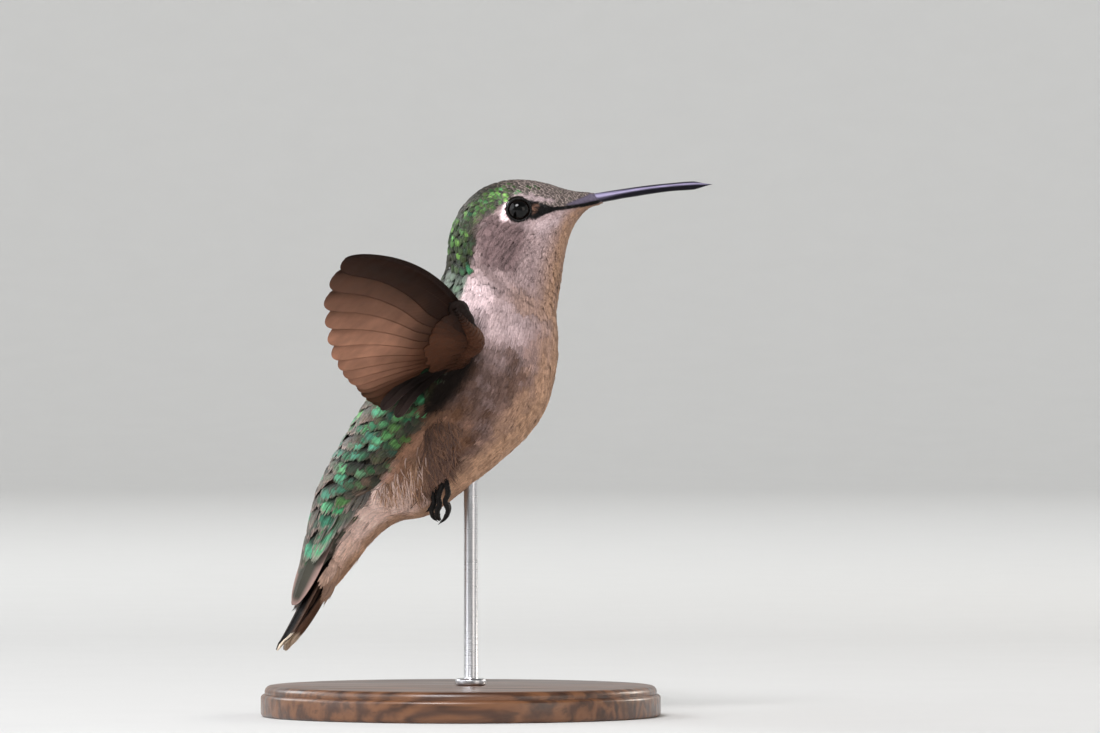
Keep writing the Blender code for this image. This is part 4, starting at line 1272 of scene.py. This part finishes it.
def flight_colours(number, rings, points):
    """Brown vanes with a warm middle that is partly painted glow of light through them, dark at the wing's
    front and root, with a dark shaft and paler tips.
    """
    t = flight_steps(rings)[:, None] * np.ones((1, len(ACROSS_VANE)))
    across = ACROSS_VANE[None] * np.ones((rings, 1))
    tertials = number >= PRIMARIES + SECONDARIES
    _, length, _ = wing_feather(min(number, PRIMARIES + SECONDARIES - 1))
    # The warm brown is partly the feathers' own, partly painted glow of light coming through them.
    warm = mix(paint(26, 12, 7), paint(204, 150, 124), step(-0.5, 5.5, number + 0.5 * across))
    warm = mix(warm, paint(118, 82, 64), step(7, 12, number))
    root = mix(paint(30, 15, 9), paint(88, 56, 40), step(1.0, 6.0, number)) * (1 - 0.5 * step(9, 13, number))
    colour = mix(root, warm, step(5.0, 17.0, t * length))
    turned = points * np.array([0.35, 1.0, 1.0])
    colour = colour * (0.74 + 0.4 * noise(points, 2.6, 7) + 0.2 * noise(turned, 0.5, 3))[..., None]
    edge = step(0.7, 1.0, np.abs(across))
    colour = mix(colour, colour * 0.75, edge * (across < 0))
    colour = mix(colour, colour * 1.2, edge * (across > 0) * 0.5)
    colour = mix(colour, paint(40, 22, 15), (np.abs(across) < 0.1) * 0.5)
    if tertials:
        colour = mix(paint(40, 26, 20), paint(168, 142, 136), step(0.45, 0.95, t))
    # The upper faces turn dusky; the undersides keep the warm brown with its painted glow.
    upper = (OVER_VANE > 0)[None] * np.ones((rings, 1))
    colour = mix(colour * 1.04, colour * 0.2 + paint(40, 35, 34) * 0.8, upper)
    return mix(colour, colour * 0.8, step(0.9, 1.0, t))


def atlas(index, total, rings, around):
    """A feather's own strip of the bake map, its top and its underside side by side."""
    strip = 1.0 / total
    half = around // 2
    across = np.concatenate([np.linspace(0.04, 0.48, half + 1), np.linspace(0.52, 0.96, around - half - 1)])
    u = (index + across) * strip
    v = np.linspace(0.02, 0.98, rings)
    return np.stack(np.meshgrid(u, v), -1)


def vane_map(rings, across):
    """Across and along one long feather, for the lines of its barbs."""
    return np.stack(np.meshgrid(0.5 + 0.5 * across, np.linspace(0, 1, rings)), -1)


def vane_piece(name, feathers, colours, material):
    """One piece of many long feathers, each with its own strip of the bake map."""
    points = np.array(feathers)
    total, rings, around = points.shape[:3]
    bake = np.array([atlas(index, total, rings, around) for index in range(total)])
    maps = {"OFBake": bake, "vane": np.array([vane_map(rings, ACROSS_VANE)] * total)}
    return make_piece(name, points, ring_faces(total, rings, around), material, np.array(colours), maps)


def make_flight(side, which, material):
    """The flight feathers of one wing and the tertials that lie against the back."""
    feathers = [flight_feather(number, side) for number in range(PRIMARIES + SECONDARIES)]
    feathers += [tertial(number, side) for number in range(TERTIALS)]
    colours = [flight_colours(number, len(ring), ring) for number, ring in enumerate(feathers)]
    piece = vane_piece(f"wing_{which}_flight_feathers", feathers, colours, material)
    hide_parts(f"wing_{which}")
    finish_piece(piece)


# Rows of the wing's coverts: first and last place, how many, from, length, width and lift.
COVERT_ROWS = (
    (0.0, 15.2, 20, 3.0, 4.4, 1.3, 0.10),  # greater coverts
    (-0.1, 15.2, 24, 2.0, 3.6, 1.1, 0.22),  # median coverts
    (-0.2, 15.2, 30, 1.1, 2.7, 0.9, 0.38),  # lesser coverts
    (-0.3, 15.2, 34, 0.2, 2.1, 0.75, 0.52),  # lesser coverts of the forearm
)
# A covert's rings: their places along it, their widths, their points across, and how high those stand.
COVERT_T = np.array([0.0, 0.2, 0.42, 0.62, 0.78, 0.9, 0.97, 1.0])
COVERT_SHAPE = np.array([0.3, 0.7, 0.95, 1.0, 0.92, 0.68, 0.4, 0.12])
COVERT_ACROSS = np.array([-1.0, -0.72, -0.25, 0.25, 0.72, 1.0, 0.0])
COVERT_TOP = np.array([0.0, 0.05, 0.08, 0.08, 0.05, 0.0, -0.03])


def arm_coverts():
    """Scaly feathers round the arm, from the shoulder out over the hand: points, places and faces up."""
    tube = arm_rings(-1)[0]
    centre = tube.mean(axis=1)
    first, second = unit(tube[:, 0] - centre), unit(tube[:, 5] - centre)
    arc = np.concatenate([[0], np.cumsum(np.linalg.norm(np.diff(centre, axis=0), axis=1))])
    row, turn = np.meshgrid(np.arange(0, 21), np.arange(13), indexing="ij")
    start = (0.3 + 0.85 * row + RANDOM.normal(0, 0.08, row.shape)).ravel()
    turn = ((turn + 0.5 * (row % 2)) * 2 * math.pi / 13 + RANDOM.normal(0, 0.06, row.shape)).ravel()
    size = np.interp(start, [0, 8, 18], [1.0, 0.8, 0.55])
    place = start[:, None] + 2.0 * size[:, None] * COVERT_T[None]
    middle, way, other = (
        np.stack([np.interp(place, arc, v[:, k]) for k in range(3)], -1) for v in (centre, first, second)
    )
    radius = np.interp(place, arc, np.linalg.norm(tube[:, 0] - centre, axis=-1))
    wide = 0.62 * size[:, None, None] * COVERT_SHAPE[None, :, None] * COVERT_ACROSS[None, None]
    angle = turn[:, None, None] + wide / np.maximum(radius, 0.5)[..., None]
    out = np.cos(angle)[..., None] * way[:, :, None] + np.sin(angle)[..., None] * other[:, :, None]
    height = radius[..., None] + 0.02 + 0.12 * COVERT_T[None, :, None] + COVERT_TOP[None, None]
    points = middle[:, :, None] + out * height[..., None]
    upper = np.where(out[:, 4, 2] @ WING_UP > 0.3, 1.0, -1.0)
    return points, np.interp(start, [0, 6, 18], [15, 8, 0]), start * 0.3, upper


def wing_coverts(side, which, material):
    """Small rounded feathers over the arm and the roots of the flight feathers, above and below."""
    number, start, length, half, lift, upper = [], [], [], [], [], []
    for first, last, count, reach, long, wide, height in COVERT_ROWS:
        for face in (1, -1):
            places = np.linspace(first, last, count) + RANDOM.normal(0, 0.1, count)
            number += list(places)
            outer = np.interp(places, [0, 9, 15], [1.6, 1.0, 0.7])
            start += list(reach * outer + RANDOM.normal(0, 0.25, count))
            length += list(long * outer * RANDOM.uniform(0.85, 1.15, count) * (1.0 if face > 0 else 0.85))
            half += [wide] * count
            lift += [height] * count
            upper += [face] * count
    number, start, length, half, lift, upper = (
        np.array(v, float) for v in (number, start, length, half, lift, upper)
    )
    reach = start[:, None] + length[:, None] * COVERT_T[None]
    line = wing_place(number[:, None] + 0 * reach, reach)
    along = unit(np.gradient(line, axis=1))
    beside = np.cross(along, WING_UP)
    beside = beside * np.sign(np.sum(beside * ACROSS, -1, keepdims=True))
    sink = np.interp(COVERT_T, [0, 1], [1.0, 0.2])
    height = 0.12 + lift[:, None, None] * sink[None, :, None] + COVERT_TOP[None, None]
    wide = half[:, None, None] * COVERT_SHAPE[None, :, None] * COVERT_ACROSS[None, None]
    points = line[:, :, None] + beside[:, :, None] * wide[..., None]
    points = points + WING_UP * (height * upper[:, None, None])[..., None]
    arm_points, arm_number, arm_start, arm_upper = arm_coverts()
    points, number = np.concatenate([points, arm_points]), np.concatenate([number, arm_number])
    start, upper = np.concatenate([start, arm_start]), np.concatenate([upper, arm_upper])
    colours = covert_colours(number, upper, COVERT_T, COVERT_ACROSS, start)
    count = len(number)
    root = np.stack([0.05 + 0.9 * (number + 0.5) / 16, 0.05 + 0.42 * start / 9 + 0.45 * (upper > 0)], -1)
    root = root[:, None, None]
    spread = np.broadcast_arrays(0.5 * COVERT_ACROSS[None, None], COVERT_T[None, :, None] - 0.5)
    spread = np.stack(spread, -1) * BAKE_PATCH
    vane = np.stack(np.broadcast_arrays(0.5 + 0.5 * COVERT_ACROSS[None], COVERT_T[:, None]), -1)
    maps = {"OFBake": root + spread, "vane": np.broadcast_to(vane, (count, *vane.shape))}
    faces = ring_faces(*points.shape[:3])
    piece = make_piece(f"wing_{which}_coverts", on_side(points, side), faces, material, colours, maps)
    finish_piece(piece)


def covert_colours(number, upper, t, across, start):
    """Glossy green above, warm dusky brown below, and darker along the leading edge."""
    count = len(number)
    glow = RANDOM.uniform(0, 1, count) ** 1.4
    over = mix(OLIVE, EMERALD, 0.2 + 0.6 * glow) * (0.25 + 0.7 * glow[:, None])
    over = mix(paint(30, 16, 10), over, step(6.0, 12.0, number))
    under = mix(paint(26, 13, 8), paint(86, 54, 38),
        step(0.5, 6.0, number) * RANDOM.uniform(0.85, 1.0, count))
    under = under * (1 - 0.35 * step(9, 14, number))[:, None]
    under = under * (0.8 + 0.3 * step(0.5, 3.0, start))[:, None]
    is_over = (upper > 0).astype(float)
    own = mix(under, over, is_over)
    ring = t[None, :, None] * np.ones((count, 1, len(across)))
    beside = np.abs(across)[None, None] * np.ones((count, len(t), 1))
    edge = np.maximum(step(0.86, 0.99, ring), step(0.8, 1.0, beside) * step(0.4, 0.6, ring))
    colour = mix(own[:, None, None] * 0.8, own[:, None, None], step(0.2, 0.6, ring))
    colour = mix(colour, colour * 1.15, edge * 0.5)
    metal = (1 - edge) * (is_over * step(6, 12, number) * (0.2 + 0.4 * glow))[:, None, None]
    return np.concatenate([np.clip(colour, 0, 1), metal[..., None]], -1)


# --- Tail ---


def tail_place(place_across, t):
    """Points of the tail's surface: place_across runs from -5 (left edge) to 5 (right edge)."""
    place_across, t = np.broadcast_arrays(np.asarray(place_across, float), np.asarray(t, float))
    share = place_across / RECTRIX_PAIRS
    root_section = np.full(share.shape, TAIL_ROOT)
    middle = (body(root_section, 0 * share) + body(root_section, 0 * share + math.pi)) / 2
    surface = body(root_section, np.radians(TAIL_EDGE) * share)
    depth = TAIL_DEPTH + (1 - TAIL_DEPTH) * np.abs(share) ** 1.5
    root = middle + (surface - middle) * depth[..., None]
    feather = np.clip(np.abs(place_across) - 0.5, 0, None)
    tips = smooth(RECTRIX_TIPS, np.clip(feather, 0, RECTRIX_PAIRS - 1))
    reach = tips[..., 1] + np.maximum(feather - RECTRIX_PAIRS + 1, 0) * 1.4
    reach = reach * np.clip(np.abs(place_across) / 0.5, 0, 1)
    y = -np.sign(place_across) * reach
    lower = math.sin(math.radians(TAIL_ROLL)) * y
    tip = np.stack([tips[..., 0] - TAIL_NORMAL[0] * lower, y, tips[..., 2] - TAIL_NORMAL[1] * lower], -1)
    return root + (tip - root) * t[..., None]


def tail_feather(pair, side):
    """Rings of one tail feather.

    The broad middle pair roofs the rest, which bunch below it and part at the tip.
    """
    rings = FLIGHT_RINGS
    t = flight_steps(rings)
    place_across = side * {1: 1.8, 2: 2.7, 3: 3.4, 4: 4.0, 5: 4.6}[pair]
    reach = t * (0.75 if pair == 1 else 1.0)
    shaft = tail_place(np.full(rings, place_across), reach)
    beside = unit(tail_place(np.full(rings, place_across + 0.3 * side), reach) - shaft)
    along = unit(np.gradient(shaft, axis=0))
    up = unit(np.cross(along, beside))
    up = up * np.sign(np.sum(up * np.array([TAIL_NORMAL[0], 0, TAIL_NORMAL[1]]), -1, keepdims=True))
    beside = unit(np.cross(up, along))
    beside = beside * np.sign(beside[:, 1:2] * -side)
    bunch = {1: 0.0, 2: 0.12, 3: 0.34, 4: 0.42, 5: 0.46}[pair]
    shaft[:, 1] *= 1 - bunch * step(0.0, 0.3, t) * (1 - 0.7 * step(0.6, 1.0, t))
    blunt = tip_shape(t, 0.86, 2.0) if pair > 1 else tip_shape(t, 0.60, 1.7)
    grow_in = 0.45 + 0.55 * step(0.0, 0.4, t)
    outer = {1: 2.2, 2: 1.2, 3: 1.0, 4: 0.7, 5: 0.5}[pair] * grow_in * blunt
    inner = {1: 3.0, 2: 0.9, 3: 1.4, 4: 1.7, 5: 1.9}[pair] * grow_in * blunt
    ridge = np.interp(t, [0, 1], [0.16, 0.04])
    droop = {1: (0.18 + 0.03 * side, 0.72), 2: (0.05, 0.5), 3: (0.05, 0.4), 4: (0.02, 0.4),
        5: (0.0, 0.4)}[pair]
    sink = {1: 0.35, 2: -0.7, 3: -0.85, 4: -0.95, 5: -1.05}[pair]
    wave = np.sin(np.clip(t * 1.05, 0, 1) * math.pi)[:, None] ** 0.6
    shaft = shaft + up * (sink * wave + (0.25 if pair == 1 else -0.06 * pair))
    return vane_rings(shaft, beside, up, np.maximum(inner, LEAST_WIDTH), np.maximum(outer, LEAST_WIDTH),
        0.06, ridge, droop)


def tail_colours(pair, rings, points):
    """Green middle feathers with buff fringes, the rest black past their roots and tipped white."""
    t = flight_steps(rings)[:, None] * np.ones((1, len(ACROSS_VANE)))
    beside = np.abs(ACROSS_VANE)[None] * np.ones((rings, 1))
    under = (OVER_VANE < 0)[None] * np.ones((rings, 1))
    green = mix(paint(40, 48, 36), paint(66, 116, 88), noise(points, 1.2, 9))
    black = paint(6, 3, 3) * np.ones_like(points)
    if pair == 1:
        colour = mix(green, paint(66, 64, 56), step(0.4, 0.7, t))
        edge = np.maximum(step(0.62, 0.95, beside) * step(0.2, 0.5, t), step(0.92, 1.0, t))
        return mix(colour, paint(168, 138, 130), edge * 0.85)
    colour = mix(green * 0.3, black, step(0.1, 0.3, t))
    # Their undersides past the root take a tan: painted warm light.
    colour = mix(colour, paint(132, 100, 82), under * step(0.3, 0.5, t) * 0.75)
    rim = step(0.86, 0.98, beside) * step(0.4, 0.6, t)
    colour = mix(colour, paint(130, 100, 84), rim * 0.5)
    if pair >= 3:
        ragged = t + 0.03 * noise(points, 0.4, 4)
        colour = mix(colour, paint(236, 218, 196), step(0.90, 0.925, ragged))
    return colour


def make_tail(material):
    """All ten tail feathers, the outermost pair first."""
    pairs = [(pair, side) for pair in range(RECTRIX_PAIRS, 0, -1) for side in (1, -1)]
    feathers = [tail_feather(pair, side) for pair, side in pairs]
    colours = [tail_colours(pair, len(ring), ring) for (pair, _), ring in zip(pairs, feathers)]
    piece = vane_piece("tail_feathers", feathers, colours, material)
    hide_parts("tail")
    finish_piece(piece)


# --- Head's hard parts ---


def make_eye(side, which, wet, lid_skin):
    """An eyeball with a raised cornea, and the lids' rim round its opening."""
    rings, around = 40, 64
    polar = np.linspace(0.02, math.pi - 0.02, rings)
    turn = np.arange(around) * 2 * math.pi / around
    radius = EYE_RADIUS - 0.12 + 0.10 * (1 - step(0.25, 0.72, polar))
    out = np.array([0.10, side * 0.99, 0.04])
    out = out / np.linalg.norm(out)
    first = unit(np.cross(out, np.array([0.0, 0.0, 1.0])))
    second = np.cross(out, first)
    circle = np.cos(turn)[:, None] * first + np.sin(turn)[:, None] * second
    centre = EYE_CENTRE * np.array([1.0, side, 1.0])
    points = centre + (np.cos(polar) * radius)[:, None, None] * out
    points = points + (np.sin(polar) * radius)[:, None, None] * circle[None]
    reach = np.broadcast_to(np.sin(polar)[:, None], (rings, around))
    iris = np.stack([np.where(np.cos(polar)[:, None] > 0, reach, 1.0), np.zeros_like(reach)], -1)
    ball = make_piece(f"eyeball_{which}", points[None], ring_faces(1, rings, around), wet, None,
        {"iris": iris})
    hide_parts(f"eye_{which}")
    finish_piece(ball)
    tube = np.arange(LID_AROUND) * 2 * math.pi / LID_AROUND
    lid_turn = np.arange(LID_RINGS) * 2 * math.pi / LID_RINGS
    lid_circle = 1.03 * np.cos(lid_turn)[:, None] * first + 0.96 * np.sin(lid_turn)[:, None] * second
    level = math.sqrt(EYE_RADIUS**2 - EYE_OPENING**2) - 0.06
    rim = EYE_OPENING + 0.08 + 0.14 * np.cos(tube)[None]
    lid = centre + out * (level + 0.12 * np.sin(tube))[None, :, None] + lid_circle[:, None] * rim[..., None]
    faces = []
    for i in range(LID_RINGS):
        here, on = i * LID_AROUND, (i + 1) % LID_RINGS * LID_AROUND
        for j in range(LID_AROUND):
            beside = (j + 1) % LID_AROUND
            faces.append([here + j, here + beside, on + beside, on + j])
    finish_piece(make_piece(f"eyelids_{which}", lid, faces, lid_skin))


def bill_ring(at, sign, around):
    """One ring of a half of the bill, ridged along the top and grooved at the nostril."""
    x, z = smooth(BILL_LINE, at)
    height, width = smooth(BILL_SIZES, at) / 2
    height = height * (1.0 if sign > 0 else np.interp(at, [0.0, 1.5], [0.72, 1.0]))
    slant = math.tan(math.radians(43.0)) * max(0.0, 1 - at)
    turn = np.linspace(0.0, math.pi, around)
    flat = np.sign(np.cos(turn)) * np.abs(np.cos(turn)) ** 0.85
    rise_here = height * np.sin(turn) ** (0.8 if sign > 0 else 0.95)
    groove = math.exp(-(((at - 0.55) / 0.5) ** 2)) * np.exp(-(((np.abs(np.cos(turn)) - 0.82) / 0.16) ** 2))
    side = width * flat * (1 - 0.16 * groove * (sign > 0)) * (1.0 if sign > 0 else 0.94)
    arch = np.stack([x + BILL_START - slant * sign * rise_here, side, z + sign * rise_here], -1)
    floor = arch[-2:0:-1].copy()
    floor[:, 2] = z + sign * 0.002
    floor[:, 0] = x + BILL_START
    return np.vstack([arch, floor])


def bill_colours(rings, line, half):
    """Black horn with a painted lilac highlight along the upper side, broadest at the nostril."""
    height = (rings[..., 2] - line[:, None, 1]) / half[:, None]
    wide = np.interp(line[:, 0], [17.9, 20, 24], [0.42, 0.30, 0.24])[:, None]
    painted_highlight = np.exp(-(((height - 0.42) / wide) ** 2))
    fade = np.interp(line[:, 0], [17.9, 20, 28, 31.5, 32.3], [1.0, 0.9, 0.9, 0.7, 0.0])[:, None]
    # The painted highlight is uneven along the bill and fades towards its tip.
    uneven = 0.8 + 0.4 * noise(rings * np.array([0.25, 1.0, 1.0]), 0.4, 12)
    return mix(paint(6, 5, 7), paint(158, 150, 182), np.clip(painted_highlight * fade * uneven, 0, 1) * 0.9)


def make_bill(material):
    """Both halves of the bill."""
    for name, sign in (("upper", 1), ("lower", -1)):
        at = np.concatenate([np.linspace(-0.12, 4.0, 66), np.linspace(4.03, len(BILL_LINE) - 1, 24)])
        rings = np.array([bill_ring(value, sign, 33) for value in at])
        share = np.clip((at - 4.0) / (at[-1] - 4.0), 0, 1)
        line = smooth(BILL_LINE, at)
        middle = np.stack([line[:, 0] + BILL_START, 0 * at, line[:, 1] + 0.1 * share], -1)[:, None]
        point = np.clip(1 - share**1.2, 0.02, 1)[:, None, None]
        rings = middle + (rings - middle) * point
        colours = bill_colours(rings, line, smooth(BILL_SIZES, at)[:, 0] / 2)
        piece = make_piece(f"bill_{name}_horn", rings[None], ring_faces(1, *rings.shape[:2]), material,
            colours)
        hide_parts(f"bill_{name}")
        finish_piece(piece)


# --- Feet and stand ---


def toe_rings(line, radii, side):
    """A toe with a ridge for each scute, a swelling at each joint and a claw at its end."""
    rings = 64
    tube = sweep(on_side(line, -side), radii, rings, 14)
    centre = tube.mean(axis=1, keepdims=True)
    at = np.linspace(0, 1, rings)
    scutes = 1.15 + 0.09 * np.abs(np.sin(at * 16 * math.pi)) * (at < 0.82)
    joints = 1 + 0.12 * (np.exp(-(((at - 0.32) / 0.05) ** 2)) + np.exp(-(((at - 0.60) / 0.05) ** 2)))
    claw = 1 + 0.15 * np.exp(-(((at - 0.80) / 0.03) ** 2)) - 0.78 * step(0.84, 1.0, at)
    return (centre + (tube - centre) * (scutes * joints * claw)[:, None, None])[None]


def make_foot(side, which, material):
    """One foot, its toes curled, with claws."""
    radii = [TOE_RADIUS * 1.05] * 2 + [TOE_RADIUS] * 2 + [TOE_RADIUS * 0.8, CLAW_RADIUS]
    shank = sweep(on_side(TARSUS, -side), [TARSUS_RADIUS, TARSUS_RADIUS * 0.95], 20, 14)[None]
    toes = [toe_rings(line, radii, side) for line in TOES]
    points, faces = join([shank, *toes])
    piece = make_piece(f"foot_{which}", points, faces, material)
    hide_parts(f"leg_{which}")
    finish_piece(piece)


def turn_profile(profile, around, x=0.0):
    """Rings of a turned shape from (radius, height) points, about an upright axis."""
    turn = np.arange(around) * 2 * math.pi / around
    circle = np.stack([np.cos(turn), np.sin(turn), 0 * turn], -1)
    return np.array([circle * radius + np.array([x, 0, height]) for radius, height in profile])


def lathe(name, profile, around, x, material):
    """A turned piece closed at both ends, with crisp edges where its profile turns sharply."""
    rings = turn_profile(profile, around, x)
    piece = make_piece(name, rings[None], ring_faces(1, len(profile), around), material)
    piece.data.set_sharp_from_angle(angle=math.radians(40))
    return piece


def rounded(radius, low, high, corner, steps=6):
    """Profile points up a side wall with round corners, from low to high."""
    turn = np.linspace(0, math.pi / 2, steps)
    lower = [(radius - corner + corner * math.sin(a), low + corner - corner * math.cos(a)) for a in turn]
    upper = [(radius - corner + corner * math.cos(a), high - corner + corner * math.sin(a)) for a in turn]
    return lower + upper


def make_stand():
    """The turned wooden base and the steel rod with its collar."""
    wood, steel = wood_material(), steel_material()
    profile = [(0.01, 0.0), (BASE_RADIUS - 1.2, 0.0)] + rounded(BASE_RADIUS, 0.0, BASE_HEIGHT - 1.1, 0.5)
    top_edge = rounded(BASE_RADIUS - 0.5, BASE_HEIGHT - 1.1, BASE_HEIGHT, 0.8)[6:]
    profile += [(BASE_RADIUS - 0.55, BASE_HEIGHT - 1.1)] + top_edge
    profile += [(0.01, BASE_HEIGHT)]
    base = lathe("stand_base_turned", profile, 180, 0.0, wood)
    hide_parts("stand_base")
    finish_piece(base)
    belly = body(np.linspace(16, 18, 60), np.full(60, math.pi))
    top = float(np.interp(-ROD_X, -belly[:, 0], belly[:, 2])) + 1.2
    collar = rounded(2.0, BASE_HEIGHT, BASE_HEIGHT + 0.9, 0.3)
    profile = [(0.01, BASE_HEIGHT - 0.5), (1.6, BASE_HEIGHT - 0.5)] + collar
    profile += [(ROD_RADIUS + 0.05, BASE_HEIGHT + 0.9), (ROD_RADIUS, BASE_HEIGHT + 1.0), (ROD_RADIUS, top),
        (0.01, top)]
    rod = lathe("stand_rod_turned", profile, 48, ROD_X, steel)
    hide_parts("stand_rod")
    finish_piece(rod)


# --- Studio ---


def make_studio():
    """A pale paper bowl: a flat floor that curves up all round, out of sight of its own edges."""
    around, flat, corner, wall = 96, 2.2, 1.2, 2.2
    bend = np.linspace(0, math.pi / 2, 16)
    rise_at = [(flat + corner * math.sin(a), corner * (1 - math.cos(a))) for a in bend]
    profile = [(0.001, 0.0), (0.3, 0.0), (1.2, 0.0)] + rise_at + [(flat + corner, wall)]
    rings = turn_profile(profile, around) / MM
    floor = make_piece("studio_floor", rings[None], ring_faces(1, len(profile), around, False),
        floor_material())


def area_light(name, place, target, size, power, colour):
    """One soft square lamp, turned towards the bird."""
    light = bpy.data.lights.new(name, "AREA")
    light.shape = "DISK"
    light.energy, light.size, light.color = power, size, colour
    obj = bpy.data.objects.new(name, light)
    bpy.context.scene.collection.objects.link(obj)
    aim(obj, place, target)


def aim(obj, place, target):
    """Put a lamp or camera at a place in metres and turn it towards a target."""
    obj.location = place
    obj.rotation_euler = (Vector(target) - Vector(place)).to_track_quat("-Z", "Y").to_euler()


def make_lights():
    """The camera's view transform, the lamps and the sky."""
    bird = (0.0, 0.0, 0.045)
    area_light("key", (-0.28, -0.90, 1.00), bird, 0.62, 17.0, (0.99, 0.98, 1.0))
    area_light("side", (-1.10, -0.30, 0.60), bird, 1.20, 7.0, (0.94, 0.96, 1.0))
    area_light("fill", (0.90, -0.80, 0.25), bird, 0.70, 2.0, (1.0, 0.92, 0.84))
    area_light("rim", (0.75, 0.55, 0.30), bird, 0.30, 2.6, (1.0, 0.92, 0.82))
    area_light("back", (-0.9, 0.6, 0.6), bird, 0.60, 5.0, (0.94, 0.98, 1.0))
    for number in range(4):
        turn = math.radians(90 * number)
        out = (math.sin(turn), math.cos(turn))
        place = (0.6 * out[0], 0.6 * out[1], 1.7)
        power = 10.0 if number == 2 else 38.0
        area_light(f"wash_{number}", place, (3.2 * out[0], 3.2 * out[1], 1.3), 1.0, power, (1.0, 1.0, 1.0))
    world = bpy.data.worlds.new("studio")
    world.use_nodes = True
    world.node_tree.nodes["Background"].inputs[0].default_value = (0.92, 0.93, 0.94, 1.0)
    world.node_tree.nodes["Background"].inputs[1].default_value = 0.18
    bpy.context.scene.world = world
    bpy.context.scene.view_settings.view_transform = "Standard"


def make_camera():
    """Level with the bird and square on to its right side, far enough off to flatten it."""
    data = bpy.data.cameras.new("camera")
    data.sensor_width, data.lens = 36.0, 302.1
    data.clip_start, data.clip_end = 0.05, 20.0
    camera = bpy.data.objects.new("camera", data)
    bpy.context.scene.collection.objects.link(camera)
    aim(camera, (0.0116, -1.2, 0.04545), (0.0116, 0.0, 0.04545))
    bpy.context.scene.camera = camera


# --- All together ---


def main():
    """Builds every piece in turn."""
    make_camera()
    make_studio()
    make_lights()
    make_skin()
    make_coat()
    wing_vanes = vane_material("flight_vanes", 0.55, 0.35)
    coverts = covert_material()
    for side, which in ((-1, "right"), (1, "left")):
        make_flight(side, which, wing_vanes)
        wing_coverts(side, which, coverts)
    make_tail(vane_material("tail_vanes", 0.5, 0.0))
    wet = eye_material()
    lid_skin = dark_skin_material("eyelid_skin", paint(8, 7, 7), paint(30, 26, 24), 4200)
    foot_skin = dark_skin_material("foot_skin", paint(5, 3, 2), paint(24, 15, 11), 3200)
    for side, which in ((-1, "right"), (1, "left")):
        make_eye(side, which, wet, lid_skin)
        make_foot(side, which, foot_skin)
    make_bill(bill_material())
    make_stand()


main()
